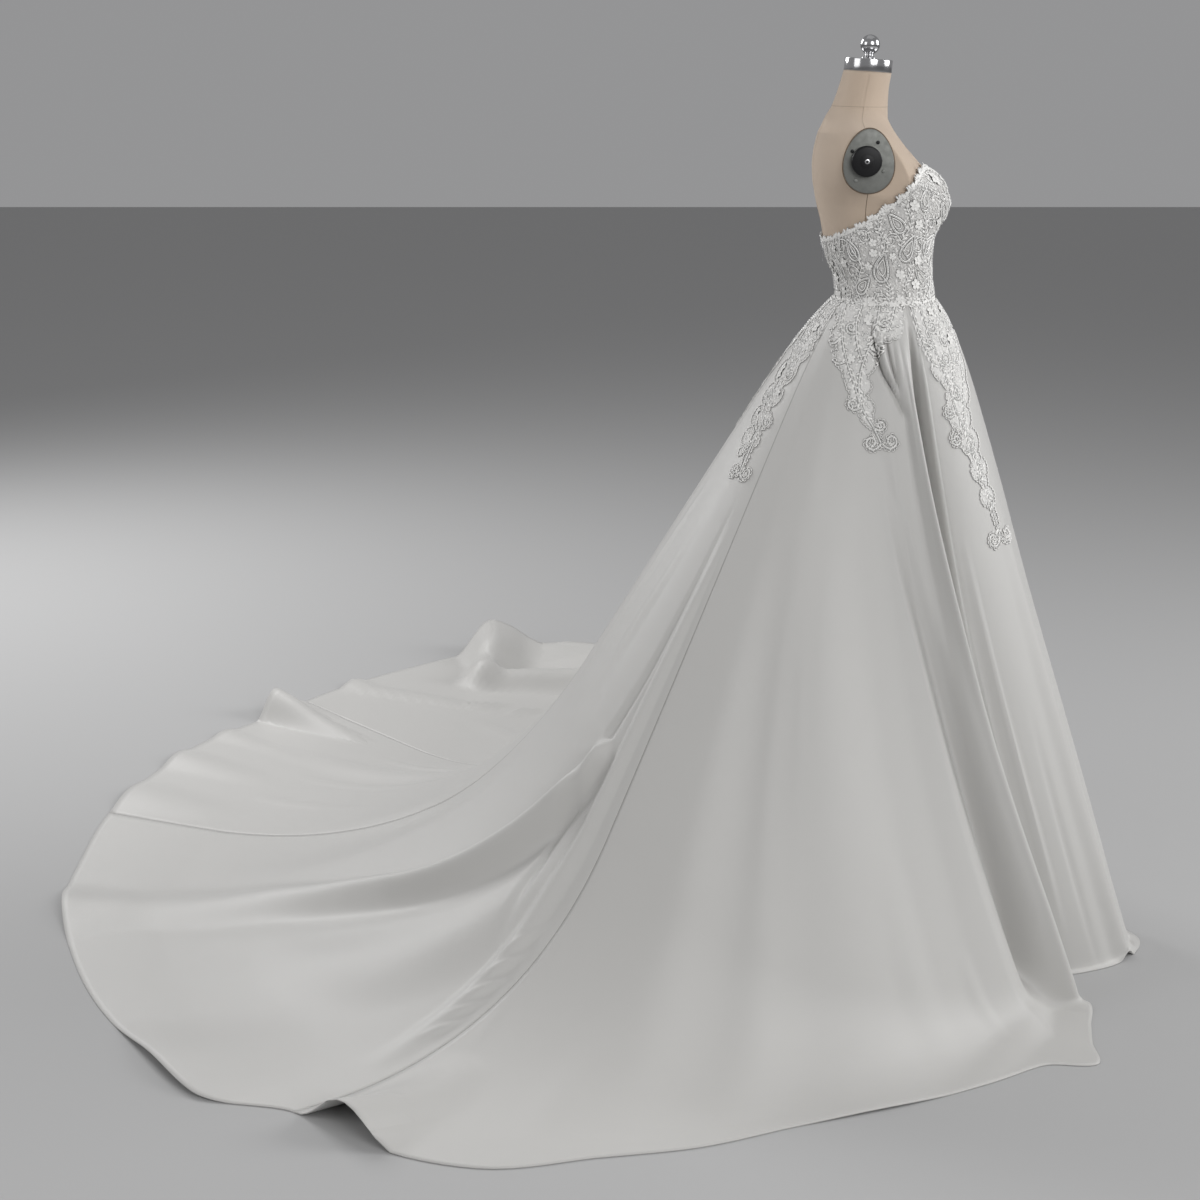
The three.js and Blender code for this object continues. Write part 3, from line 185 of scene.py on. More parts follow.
# Small creases that only the cloth itself shows, in the same columns as the folds
CREASES = [
    [(1180, 155.9, 0.25, 0), (1230, 156.5, 0.35, 5), (1290, 157.2, 0.3, 0)],
    [(1240, 155.8, 0.25, 0), (1290, 156.3, 0.35, 6), (1350, 156.9, 0.3, 0)],
    [(1300, 155.7, 0.25, 0), (1350, 156.1, 0.35, 6), (1410, 156.6, 0.3, 0)],
    [(1360, 155.6, 0.25, 0), (1410, 156.0, 0.3, 5), (1460, 156.4, 0.25, 0)],
    [(1420, 155.5, 0.2, 0), (1470, 155.9, 0.3, 5), (1520, 156.2, 0.25, 0)],
    [(1150, 154.9, 0.3, 0), (1230, 154.4, 0.35, 2), (1300, 153.8, 0.3, 0)],
    [(1320, 154.9, 0.3, 0), (1400, 154.4, 0.35, 2), (1480, 153.9, 0.3, 0)],
    [(1440, 179.7, 0.2, 0), (1475, 179.3, 0.3, 4), (1510, 178.9, 0.2, 0)],
    [(1000, 205.2, 0.3, 0), (1200, 205.5, 0.35, 4), (1500, 205.3, 0.3, 0)],
    [(1650, 215.6, 1.3, 0), (1900, 215.0, 1.6, 7), (2250, 213.6, 1.3, 0)],
    [(1300, 199.5, 0.9, 0), (1700, 199.8, 1.0, 4), (2100, 200.2, 0.8, 0)],
    [(1500, 190.5, 0.8, 0), (1850, 190.2, 0.9, 3), (2200, 189.6, 0.8, 0)],
    [(1700, 184.6, 0.6, 0), (1950, 184.9, 0.8, 3), (2150, 185.1, 0.6, 0)],
    [(1250, 149.0, 1.5, 0), (1500, 148.2, 1.7, 4), (1650, 147.4, 1.5, 0)],
    [(900, 118.0, 3.0, 0), (1150, 117.0, 3.4, 5), (1350, 116.0, 3.0, 0)],
    [(1080, 109.0, 1.6, 0), (1180, 108.4, 1.8, 3), (1290, 107.5, 1.4, 0)],
    [(500, 136.0, 3.0, 0), (800, 135.0, 3.5, -3), (1100, 134.5, 3.0, 0)],
    [(420, 167.0, 2.0, 0), (620, 167.6, 2.2, 4), (800, 168.0, 2.0, 0)],
    [(350, 175.5, 2.0, 0), (600, 176.0, 2.4, 4), (900, 176.5, 2.0, 0)],
    [(350, 193.0, 3.0, 0), (650, 193.5, 3.4, -5), (950, 194.0, 3.0, 0)],
    [(400, 216.0, 3.5, 0), (700, 217.0, 4.0, 6), (1100, 218.0, 3.5, 0)],
    [(500, 224.0, 3.5, 0), (900, 225.0, 4.0, -8), (1400, 226.0, 3.5, 0)],
    [(900, 231.0, 3.0, 0), (1300, 231.5, 3.2, 8), (1800, 231.0, 3.0, 0)],
    [(420, 247.0, 3.5, 0), (800, 248.0, 4.0, 7), (1200, 248.5, 3.5, 0)],
    [(500, 12.0, 3.0, 0), (900, 13.0, 3.4, 3), (1250, 13.5, 3.0, 0)],
    [(650, 348.0, 3.0, 0), (1000, 347.0, 3.4, 3), (1280, 346.5, 3.0, 0)],
    [(700, 45.0, 3.0, 0), (1000, 45.5, 3.4, -4), (1280, 46.0, 3.0, 0)],
    [(700, 316.0, 3.0, 0), (1000, 315.5, 3.4, -4), (1280, 315.0, 3.0, 0)],
]


def slopes(xs, ys):
    """Slopes at the points of a curve that never overshoots between them."""
    steps = np.diff(ys) / np.diff(xs)
    out = np.zeros(len(xs))
    out[0], out[-1] = steps[0], steps[-1]
    for k in range(1, len(xs) - 1):
        a, b = steps[k - 1], steps[k]
        out[k] = 0 if a * b <= 0 else 2 * a * b / (a + b)
    return out


def curve(rows, column, x):
    """Smooth curve through one column of a table, against the table's first column."""
    rows = np.asarray(rows, float)
    xs, ys = rows[:, 0], rows[:, column]
    ms = slopes(xs, ys)
    x = np.clip(x, xs[0], xs[-1])
    i = np.clip(np.searchsorted(xs, x, side="right") - 1, 0, len(xs) - 2)
    h = xs[i + 1] - xs[i]
    t = (x - xs[i]) / h
    return ((2 * t**3 - 3 * t**2 + 1) * ys[i] + (t**3 - 2 * t**2 + t) * h * ms[i]
            + (3 * t**2 - 2 * t**3) * ys[i + 1] + (t**3 - t**2) * h * ms[i + 1])


def crest(share):
    """Round rise: 1 in the middle, 0 at a share of 1 and beyond."""
    return np.where(share < 1, np.cos(np.clip(share, 0, 1) * math.pi / 2) ** 2, 0.0)


def turn_from(start, angle):
    """Degrees from one angle to another, between -180 and 180."""
    return np.mod(angle - start + 180, 360) - 180


# The hem's table, carried on past both ends of the turn
hem_rows = np.vstack([HEM[-4:] - [360, 360, 0, 0, 0], HEM, HEM[:4] + [360, 360, 0, 0, 0]])


def section(angle, z, grow, bust=1.0):
    """A level section of the form, or of cloth that far outside it."""
    angle, z = np.broadcast_arrays(np.asarray(angle, float), np.asarray(z, float))
    front, back, half = (curve(BODY, k, z) for k in (1, 2, 3))
    c, s = np.cos(np.radians(angle)), np.sin(np.radians(angle))
    middle = (front + back) / 2
    power = 2 / ROUNDNESS
    x = middle + ((front - back) / 2 + grow) * np.sign(c) * np.abs(c) ** power
    y = -(half + grow) * np.sign(s) * np.abs(s) ** power
    reach = bust * curve(BUST, 1, z) * crest(np.abs(np.abs(y) - BUST_SIDE) / BUST_SPREAD)
    x = np.where(x > middle, x + reach, x)
    return np.stack([x, y, z], -1)


def fold_height(angle, length):
    """Height of all folds together above the smooth skirt."""
    height = np.zeros(np.broadcast(angle, length).shape)
    for rows in FOLDS + CREASES:
        last = rows[-1]
        away = np.abs(turn_from(curve(rows, 1, length), angle))
        on = length > rows[0][0]
        if last[3] == 0:
            on = on & (length < last[0])
        height += np.where(on, curve(rows, 3, length) * crest(away / curve(rows, 2, length)), 0)
    for rows in ROLLS:
        on = (angle > rows[0][0]) & (angle < rows[-1][0])
        away = np.abs(length - curve(rows, 1, angle))
        height += np.where(on, curve(rows, 3, angle) * crest(away / curve(rows, 2, angle)), 0)
    return height


def path_length(angle):
    """Length down the skirt from the waist, and over the floor to the hem."""
    angle = np.mod(angle, 360.0)
    waist = section(angle, WAIST_HEIGHT, WAIST_OUT)
    wr = np.hypot(waist[..., 0], waist[..., 1])
    foot = curve(hem_rows, 3, angle)
    return np.hypot(foot - wr, WAIST_HEIGHT) + curve(hem_rows, 2, angle) - foot


def skirt(angle, length):
    """Middle surface of the skirt at a waist angle and a length down the path from the waist."""
    angle, length = np.broadcast_arrays(np.mod(np.asarray(angle, float), 360.0), np.asarray(length, float))
    waist = section(angle, WAIST_HEIGHT, WAIST_OUT)
    wr = np.hypot(waist[..., 0], waist[..., 1])
    wt = np.mod(np.degrees(np.arctan2(-waist[..., 1], waist[..., 0])), 360)
    foot, ease = curve(hem_rows, 3, angle), curve(hem_rows, 4, angle)
    fall = np.hypot(foot - wr, WAIST_HEIGHT)
    swing = turn_from(wt, curve(hem_rows, 1, angle))
    outward, downward = (foot - wr) / fall, -WAIST_HEIGHT / fall
    past = length - fall
    r = np.where(past < 0, wr + outward * length, foot + past)
    z = np.where(past < 0, WAIST_HEIGHT + downward * length, 0.0)
    bend = np.maximum(ease - np.abs(past), 0) ** 2 / (4 * ease)
    r = r + (1 - outward) * bend
    z = z - downward * bend
    down = np.clip(length / fall, 0, 1)
    r = r + HIP_FULLNESS * (1 - np.exp(-down / HIP_START)) * (1 - down) ** HIP_FADE * np.abs(downward)
    level = np.clip(0.5 * (1 + past / ease), 0, 1)
    tr, tz = outward * (1 - level) + level, downward * (1 - level)
    norm = np.hypot(tr, tz)
    height = fold_height(angle, length)
    r, z = r - tz / norm * height, z + tr / norm * height
    direction = np.radians(wt + swing * down ** SWING_GROWTH)
    return np.stack([r * np.cos(direction), -r * np.sin(direction), np.maximum(z, CLOTH / 2)], -1)


def unit(v):
    return v / np.maximum(np.linalg.norm(v, axis=-1, keepdims=True), 1e-9)


def facing(n, outward):
    """The same normals, turned to the outer side."""
    return np.where((n * outward).sum(-1, keepdims=True) < 0, -n, n)


def up_and_out(points):
    upward = 200.0
    return unit(np.stack([points[..., 0], points[..., 1], np.full(points.shape[:-1], upward)], -1))


def grid_normals(grid):
    across, along = np.gradient(grid, axis=0), np.gradient(grid, axis=1)
    return facing(unit(np.cross(across, along)), up_and_out(grid))


def run_length(points):
    """Lengths along the first axis, from 0 at its first points."""
    steps = np.linalg.norm(np.diff(points, axis=0), axis=-1)
    return np.concatenate([np.zeros((1, *steps.shape[1:])), np.cumsum(steps, axis=0)])


def towards(angle):
    return np.array([math.cos(angle), math.sin(angle)])


# Meshes

def new_mesh(name, points, faces, smooth=True):
    """A piece from points in millimetres."""
    mesh = bpy.data.meshes.new(name)
    mesh.from_pydata((np.asarray(points) * MM).tolist(), [], faces)
    mesh.update()
    if smooth:
        mesh.shade_smooth()
    piece = bpy.data.objects.new(name, mesh)
    bpy.context.scene.collection.objects.link(piece)
    return piece


def set_cut(mesh, flat):
    """The flat cut of a sheet, in metres, as the mesh's own coordinates."""
    layer = mesh.uv_layers.new(name="cut")
    loops = np.empty(len(mesh.loops), dtype=np.int32)
    mesh.loops.foreach_get("vertex_index", loops)
    layer.data.foreach_set("uv", flat[loops].astype(np.float32).ravel())


def strip_faces(rows, across):
    """Faces of a strip of points that has 'across' points in each row."""
    return [(across * k + c, across * (k + 1) + c, across * (k + 1) + c + 1, across * k + c + 1)
            for k in range(rows - 1) for c in range(across - 1)]


def shell_faces(across, along):
    index = np.arange(across * along).reshape(across, along)
    under = index + across * along
    top = np.stack([index[:-1, :-1], index[:-1, 1:], index[1:, 1:], index[1:, :-1]], -1).reshape(-1, 4)
    low = np.stack([under[:-1, :-1], under[1:, :-1], under[1:, 1:], under[:-1, 1:]], -1).reshape(-1, 4)
    rims = []
    for line, inner, flip in ((index[0], under[0], False), (index[-1], under[-1], True),
                              (index[:, 0], under[:, 0], True), (index[:, -1], under[:, -1], False)):
        quad = np.stack([line[:-1], inner[:-1], inner[1:], line[1:]], -1)
        rims.append(quad[:, ::-1] if flip else quad)
    return np.vstack([top, low] + rims).tolist()


def cloth_shell(name, outer, inner, flat):
    """A closed sheet between two grids of points, with its flat cut."""
    points = np.vstack([outer.reshape(-1, 3), inner.reshape(-1, 3)])
    piece = new_mesh(name, points, shell_faces(*outer.shape[:2]))
    mesh = piece.data
    # the first face lies on the outer side and has to look away from the inner one
    v = points[np.array([loop.vertex_index for loop in mesh.loops[:4]])]
    if np.dot(np.cross(v[1] - v[0], v[2] - v[0]), outer[0, 0] - inner[0, 0]) < 0:
        mesh.flip_normals()
    set_cut(mesh, np.vstack([flat.reshape(-1, 2)] * 2))
    return piece


# Materials

def nodes_of(name):
    material = bpy.data.materials.new(name)
    material.use_nodes = True
    tree = material.node_tree
    return material, tree, tree.nodes["Principled BSDF"]


def connect(tree, node, inputs):
    """Links each input to a socket or sets it to a value."""
    for key, value in inputs.items():
        if isinstance(value, bpy.types.NodeSocket):
            tree.links.new(value, node.inputs[key])
        else:
            node.inputs[key].default_value = value


def add_node(tree, kind, inputs=None, **settings):
    node = tree.nodes.new(kind)
    for key, value in settings.items():
        setattr(node, key, value)
    connect(tree, node, inputs or {})
    return node


WEAVE = {"Threads": 1200.0, "Weave height": 0.1, "Rumple scale": 14.0, "Rumple height": 0.5,
         "Tone change": 0.05}


def weave_group():
    """Crossed threads, a slight rumple and small changes of tone, shared by all cloth."""
    group = bpy.data.node_groups.new("woven_surface", "ShaderNodeTree")
    socket = group.interface.new_socket
    socket("Vector", in_out="INPUT", socket_type="NodeSocketVector")
    for name, value in WEAVE.items():
        socket(name, in_out="INPUT", socket_type="NodeSocketFloat").default_value = value
    socket("Color", in_out="INPUT", socket_type="NodeSocketColor")
    socket("Color", in_out="OUTPUT", socket_type="NodeSocketColor")
    socket("Normal", in_out="OUTPUT", socket_type="NodeSocketVector")

    def node(kind, inputs=None, **settings):
        return add_node(group, "ShaderNode" + kind, inputs, **settings)

    def number(operation, *terms):
        return node("Math", dict(enumerate(terms)), operation=operation).outputs[0]

    given = group.nodes.new("NodeGroupInput").outputs
    mixed = number("MAXIMUM", *[
        node("TexWave", {"Distortion": 0.6, "Detail": 1.0, "Vector": given["Vector"],
                         "Scale": given["Threads"]},
             wave_type="BANDS", bands_direction=direction).outputs["Fac"] for direction in ("X", "Y")])
    place = node("TexCoord").outputs["Object"]
    rumple = node("TexNoise", {"Detail": 2.5, "Roughness": 0.45, "Vector": place,
                               "Scale": given["Rumple scale"]})
    rumpled = number("MULTIPLY", rumple.outputs["Fac"], given["Rumple height"])
    rough = node("Bump", {"Strength": 1.0, "Distance": 0.01, "Height": rumpled})
    threads = number("MULTIPLY", mixed, given["Weave height"])
    fine = node("Bump", {"Strength": 1.0, "Distance": 0.001, "Height": threads,
                         "Normal": rough.outputs["Normal"]})
    tone = node("TexNoise", {"Scale": 6.0, "Detail": 4.0, "Vector": place})
    toned = number("MULTIPLY", tone.outputs["Fac"], given["Tone change"])
    darker = number("MULTIPLY_ADD", mixed, -0.03, toned)
    change = node("HueSaturation", {"Value": number("SUBTRACT", 1.0, darker), "Color": given["Color"]})
    add_node(group, "NodeGroupOutput", {"Color": change.outputs["Color"], "Normal": fine.outputs["Normal"]})
    return group


woven = weave_group()


def cloth_material(name, color, roughness, weave, sheen=0.0, place="UV", specular=0.5):
    """Cloth; 'weave' gives the five values of WEAVE in their order."""
    material, tree, shader = nodes_of(name)
    coordinates = tree.nodes.new("ShaderNodeTexCoord")
    cloth = add_node(tree, "ShaderNodeGroup", {
        **dict(zip(WEAVE, weave)), "Color": (*color, 1), "Vector": coordinates.outputs[place]},
        node_tree=woven)
    connect(tree, shader, {
        "Base Color": cloth.outputs["Color"], "Normal": cloth.outputs["Normal"], "Roughness": roughness,
        "Sheen Weight": sheen, "Sheen Roughness": 0.4, "Specular IOR Level": specular})
    return material


def speckle(tree, scale, detail):
    """Fine noise that stays in place on the piece."""
    place = tree.nodes.new("ShaderNodeTexCoord").outputs["Object"]
    noise = add_node(tree, "ShaderNodeTexNoise", {"Scale": scale, "Detail": detail, "Vector": place})
    return noise.outputs["Fac"]


def two_tone(tree, share, light, dark):
    mix = add_node(tree, "ShaderNodeMixRGB", {"Fac": share, "Color1": (*light, 1), "Color2": (*dark, 1)})
    return mix.outputs["Color"]


def metal_material(name, color, roughness, brushed=0.0, scale=60.0):
    material, tree, shader = nodes_of(name)
    noise = speckle(tree, scale, 5.0)
    polish = add_node(tree, "ShaderNodeMapRange", {
        "Value": noise, "To Min": max(roughness - 0.05, 0.03), "To Max": roughness + 0.10 + brushed})
    connect(tree, shader, {
        "Metallic": 1.0, "Roughness": polish.outputs["Result"],
        "Base Color": two_tone(tree, noise, color, [0.82 * c for c in color])})
    return material


def plain_material(name, color, roughness, scale=90.0, bump=0.2, specular=0.5):
    material, tree, shader = nodes_of(name)
    noise = speckle(tree, scale, 4.0)
    lift = add_node(tree, "ShaderNodeBump", {"Strength": bump, "Distance": 0.0005, "Height": noise})
    connect(tree, shader, {
        "Base Color": two_tone(tree, noise, color, [0.8 * c for c in color]),
        "Normal": lift.outputs["Normal"], "Roughness": roughness, "Specular IOR Level": specular})
    return material


def bead_material(name, light, dark, roughness, metallic):
    """Beads of which some are light and some dark."""
    material, tree, shader = nodes_of(name)
    spread = add_node(tree, "ShaderNodeMapRange", {
        "From Min": 0.35, "From Max": 0.65, "Value": speckle(tree, 420.0, 2.0)})
    connect(tree, shader, {
        "Base Color": two_tone(tree, spread.outputs["Result"], light, dark), "Roughness": roughness,
        "Metallic": metallic})
    return material


satin = cloth_material("ivory_satin", (0.552, 0.545, 0.528), 0.46, (900.0, 0.05, 11.0, 0.055, 0.03),
                       sheen=0.1, specular=0.45)
lining = cloth_material("bodice_net", (0.93, 0.915, 0.89), 0.6, (420.0, 0.5, 40.0, 0.02, 0.2))
linen = cloth_material("form_linen", (0.69, 0.555, 0.435), 0.92, (520.0, 0.30, 30.0, 0.03, 0.12), sheen=0.15)
tape = cloth_material("zip_tape_cloth", (0.74, 0.73, 0.70), 0.8, (900.0, 0.3, 30.0, 0.01, 0.05),
                      place="Object")
net = cloth_material("lace_net", (0.80, 0.79, 0.77), 0.6, (300.0, 0.15, 60.0, 0.02, 0.22))
chrome = metal_material("polished_chrome", (0.60, 0.60, 0.61), 0.12)
steel = metal_material("grey_steel", (0.235, 0.24, 0.226), 0.5, 0.1, 140.0)
nickel = metal_material("zip_nickel", (0.62, 0.62, 0.63), 0.25)
black = plain_material("black_knob", (0.006, 0.006, 0.007), 0.42, 200.0, 0.1, specular=0.28)
thread = plain_material("lace_thread", (0.96, 0.95, 0.925), 0.45, 500.0, 0.4)
petal = plain_material("lace_petal", (0.94, 0.93, 0.905), 0.7, 700.0, 0.8)
# near-black flat ground under the cords, leaves and petals of the lace: painted shadow of the raised work
painted_shadow = plain_material("painted_shadow_outline", (0.17, 0.167, 0.16), 0.6, 500.0, 0.5)
# darker strip along the skirt seams: painted shade of the seam's recess
satin_seam_shade = plain_material("satin_seam_shade", (0.36, 0.355, 0.34), 0.6, 600.0, 0.3)
linen_seam = plain_material("linen_seam", (0.20, 0.145, 0.10), 0.9, 800.0, 0.4)
linen_stitch = plain_material("linen_stitch", (0.44, 0.34, 0.25), 0.9, 800.0, 0.4)
bead = bead_material("clear_bead", (0.92, 0.92, 0.91), (0.74, 0.74, 0.73), 0.14, 0.0)
bugle = bead_material("bugle_bead", (0.78, 0.78, 0.77), (0.22, 0.22, 0.22), 0.24, 0.1)


def finish_piece(piece, material, slot, *nodes):
    piece.data.materials.append(material)
    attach(piece, DRESS)
    if nodes:
        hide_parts(*nodes)


# Skirt: piece, solid, first and last waist angle, columns and rows
GORES = [
    ("satin_front", "skirt_front", -78, 78, 120, 110),
    ("satin_side_right", "skirt_side_right", 78, 155, 168, 160),
    ("satin_back_right", "skirt_back_right", 155, 180, 120, 150),
    ("satin_back_left", "skirt_back_left", 180, 205, 76, 110),
    ("satin_side_left", "skirt_side_left", 205, 282, 170, 150),
]
# Where columns lie closer: waist angle, spread in degrees and how many more
CROWDING = [
    (78, 9, 2.2), (282, 9, 2.2), (157, 3, 1.3), (163, 6, 1.2), (170, 4, 0.6), (222, 5, 1.4),
    (201.5, 3.5, 1.0), (98, 9, 0.9), (262, 9, 0.8), (153.5, 2, 1.0), (180, 1, 0.6), (205, 1, 0.6)]
GORE_MARGIN = 0.3


def column_angles(first, last, count):
    """Waist angles of a gore's columns, closer where the folds are narrow."""
    samples = 4000
    at = first + (last - first) * (np.arange(samples) + 0.5) / samples
    density = np.ones(samples)
    for centre, spread, extra in CROWDING:
        density += extra * crest(np.abs(turn_from(centre, at)) / (1.6 * spread))
    total = np.concatenate([[0], np.cumsum(density)])
    wanted = np.linspace(0, total[-1], count + 1)
    return first + (last - first) * np.interp(wanted, total, np.arange(samples + 1)) / samples


for name, node, first, last, columns, rows in GORES:
    angles = column_angles(first, last, columns)
    # one more column at each edge gives both gores of a seam the same normals
    wide = np.concatenate([[first - GORE_MARGIN], angles, [last + GORE_MARGIN]])
    lengths = path_length(wide)[:, None] * np.linspace(0, 1, rows + 1)[None, :]
    middle = skirt(wide[:, None], lengths)
    normals = grid_normals(middle)[1:-1]
    middle, lengths = middle[1:-1], lengths[1:-1]
    outer, inner = middle + normals * CLOTH / 2, middle - normals * CLOTH / 2
    outer[..., 2] = np.maximum(outer[..., 2], CLOTH)
    inner[..., 2] = np.maximum(inner[..., 2], 0)
    across = run_length(middle)
    across -= across[len(across) // 2]
    piece = cloth_shell(name, outer, inner, np.stack([across, lengths], -1) * MM)
    finish_piece(piece, satin, "satin", node)

# The seams of the skirt: a fine, low, darker line where two gores meet, a painted shade of the seam's recess
SEAM_POINTS = 260
for name, turn, last in (("right", 155.0, 0.985), ("back", 180.0, 0.995), ("left", 205.0, 0.995)):
    down = np.linspace(0.02, last, SEAM_POINTS) * path_length(np.array(turn))
    pair = np.stack([skirt(np.full(SEAM_POINTS, turn + aside), down) for aside in (-0.06, 0.06)], 1)
    middle_line = pair.mean(axis=1)
    beside = unit(pair[:, 1] - pair[:, 0])
    above = facing(unit(np.cross(np.gradient(middle_line, axis=0), beside)), up_and_out(middle_line))
    rows = np.stack([middle_line + a * beside + (CLOTH / 2 + b) * above
                     for a, b in ((-1.0, -0.1), (0.0, 0.25), (1.0, -0.1))], 1)
    line = new_mesh(f"skirt_seam_shade_{name}", rows.reshape(-1, 3), strip_faces(SEAM_POINTS, 3))
    finish_piece(line, satin_seam_shade, "satin")


# Drawing lace: everything is drawn flat in millimetres as (across, down, height), and laid on the cloth
# at the end

def motif(rows, cupped=False):
    """A motif from rows of place along it, half width and height; its edges lie flat or stand up."""
    return np.array([(t, w * side, h if side == 0 else h + 0.55 if cupped else 0.0)
                     for t, w, h in rows for side in (-1, 0, 1)])


LEAF = motif([(0, 0.2, 0.4), (0.3, 0.95, 1.0), (0.68, 0.9, 0.95), (1.0, 0.08, 0.3)])
LEAF_FACES = strip_faces(4, 3)
LEAF_GROUND = np.array([(-0.05, -0.3, 0), (0.32, -1, 0), (0.74, -0.9, 0), (1.12, 0, 0), (0.74, 0.9, 0),
                        (0.32, 1, 0), (-0.05, 0.3, 0)])
GROUND_FACES = [tuple(range(7))]
PETAL = motif([(0.05, 0.25, 0.3), (0.4, 0.75, 0.5), (0.7, 1.0, 0.55), (0.92, 0.8, 0.4), (1.0, 0.35, 0.1)],
              cupped=True)
PETAL_FACES = strip_faces(5, 3)
BUGLE = motif([(-1, 0.35, 0.4), (-0.72, 1, 1), (0.72, 1, 1), (1, 0.35, 0.4)])
BUGLE_FACES = strip_faces(4, 3)
BEAD = np.array([(r * math.cos(2 * math.pi * k / 5), r * math.sin(2 * math.pi * k / 5), h)
                 for r, h in ((1, 0), (0.66, 0.85)) for k in range(5)])
BEAD_FACES = [(k, (k + 1) % 5, 5 + (k + 1) % 5, 5 + k) for k in range(5)] + [(5, 6, 7, 8, 9)]
# the last kind is the painted shadow under the raised lace
THREAD, BUGLES, BEADS, PETALS, NET, PAINTED_SHADOW = range(6)
LACE_MATERIALS = (thread, bugle, bead, petal, net, painted_shadow)
CORD_PROFILE = ((-1, 0.0), (-0.55, 0.85), (0.55, 0.85), (1, 0.0))
# Heights above the cloth at which ground, the painted shadow under the cords and white thread start
GROUND_LIFT, PAINTED_SHADOW_LIFT, THREAD_LIFT = 0.2, 0.25, 0.35
CORD_HEIGHT = 1.3


def along_path(path, run, at):
    """Places on a path at the lengths 'at', when its own points lie at the lengths 'run'."""
    return np.stack([np.interp(at, run, path[:, 0]), np.interp(at, run, path[:, 1])], -1)


class Lace:
    """A drawing of lace, with a map in millimetre cells of what is taken."""

    def __init__(self, low, high):
        self.low, self.high = np.array(low, float), np.array(high, float)
        size = (self.high - self.low).astype(int) + 2
        self.taken = np.zeros(size, bool)
        self.points, self.faces, self.kinds, self.total = [], [], [], 0
        self.stamps = {}

    def add(self, points, faces, kind):
        self.points.append(points)
        self.faces.extend([[v + self.total for v in face] for face in faces])
        self.kinds.extend([kind] * len(faces))
        self.total += len(points)

    def place(self, template, faces, at, angle, size, kind, lift=0.0):
        c, s = math.cos(angle), math.sin(angle)
        x, y = template[:, 0] * size[0], template[:, 1] * size[1]
        points = [at[0] + c * x - s * y, at[1] + s * x + c * y, lift + template[:, 2] * size[2]]
        self.add(np.stack(points, -1), faces, kind)

    def disc(self, radius):
        key = int(math.ceil(radius * 2))
        if key not in self.stamps:
            n = int(math.ceil(radius))
            i, j = np.mgrid[-n:n + 1, -n:n + 1]
            on = i * i + j * j <= (key / 2) ** 2
            self.stamps[key] = (i[on], j[on])
        return self.stamps[key]

    def cells(self, p, radius):
        i, j = self.disc(radius)
        ci, cj = int(p[0] - self.low[0]), int(p[1] - self.low[1])
        i, j = i + ci, j + cj
        on = (i >= 0) & (j >= 0) & (i < self.taken.shape[0]) & (j < self.taken.shape[1])
        return i[on], j[on]

    def take(self, p, radius):
        self.taken[self.cells(p, radius)] = True

    def free(self, p, radius):
        return not self.taken[self.cells(p, radius)].any()

    def cord(self, path, radius, height, lift):
        """Round thread that thins out at both ends."""
        path = np.asarray(path)
        if len(path) < 3:
            return
        along = unit(np.gradient(path, axis=0))
        side = np.stack([-along[:, 1], along[:, 0]], -1)
        place = np.arange(len(path))
        taper = np.minimum(1, np.minimum(place + 0.6, len(path) - place - 0.4) / 1.5)
        rows = []
        for across, up in CORD_PROFILE:
            flat = path + side * (across * radius * taper)[:, None]
            rows.append(np.column_stack([flat, lift + up * height * taper]))
        self.add(np.stack(rows, 1).reshape(-1, 3), strip_faces(len(path), 4), THREAD)
        for p in path[::2]:
            self.take(p, radius + 0.5)

    def ribbon(self, path, radius):
        """Flat near-black ground under a cord: a painted shadow of the raised cord."""
        path = np.asarray(path)
        if len(path) < 3:
            return
        along = unit(np.gradient(path, axis=0))
        side = np.stack([-along[:, 1], along[:, 0]], -1) * radius
        lift = np.full(len(path), PAINTED_SHADOW_LIFT)
        rows = np.stack([np.column_stack([path + a * side, lift]) for a in (-1, 1)], 1)
        self.add(rows.reshape(-1, 3), strip_faces(len(path), 2), PAINTED_SHADOW)

    def loop(self, at, angle, radius):
        turns = np.linspace(-2.15, 2.15, 7) + angle
        arc = np.stack([at[0] + radius * np.cos(turns), at[1] + radius * np.sin(turns)], -1)
        self.cord(arc, 0.7, 1.0, THREAD_LIFT)
        self.take(at, radius + 0.4)

    def leaf(self, at, angle, length, width, kind=THREAD, lift=THREAD_LIFT):
        # four leaves in ten get a near-black ground round them: a painted shadow of the leaf
        ground = PAINTED_SHADOW if rng.random() < 0.4 else NET
        self.place(LEAF_GROUND, GROUND_FACES, at, angle, (length, width / 2 + 0.6, 1), ground, GROUND_LIFT)
        self.place(LEAF, LEAF_FACES, at, angle, (length, width / 2, 1.0), kind, lift)
        for t in (0.3, 0.6, 0.85):
            self.take((at[0] + t * length * math.cos(angle), at[1] + t * length * math.sin(angle)), width / 2)

    def flower(self, at, radius, turn):
        wide = radius * 0.42
        for k in range(5):
            angle = turn + 2 * math.pi * k / 5
            # a near-black ground under each petal: painted shadow of the petal
            self.place(LEAF_GROUND, GROUND_FACES, at, angle, (radius, wide + 0.7, 1), PAINTED_SHADOW, GROUND_LIFT)
            self.place(PETAL, PETAL_FACES, at, angle, (radius, wide, 1.7), PETALS, 0.4)
        for k in range(5):
            angle = turn + 2 * math.pi * (k + 0.5) / 5
            place = (at[0] + 0.3 * radius * math.cos(angle), at[1] + 0.3 * radius * math.sin(angle))
            self.bead(place, 0.85, 1.0)
        self.bead(at, 1.5, 1.2)
        self.take(at, radius)

    def bead(self, at, radius, lift):
        self.place(BEAD, BEAD_FACES, at, 0.7 * at[0], (radius, radius, radius * 1.2), BEADS, lift)
        self.take(at, radius)

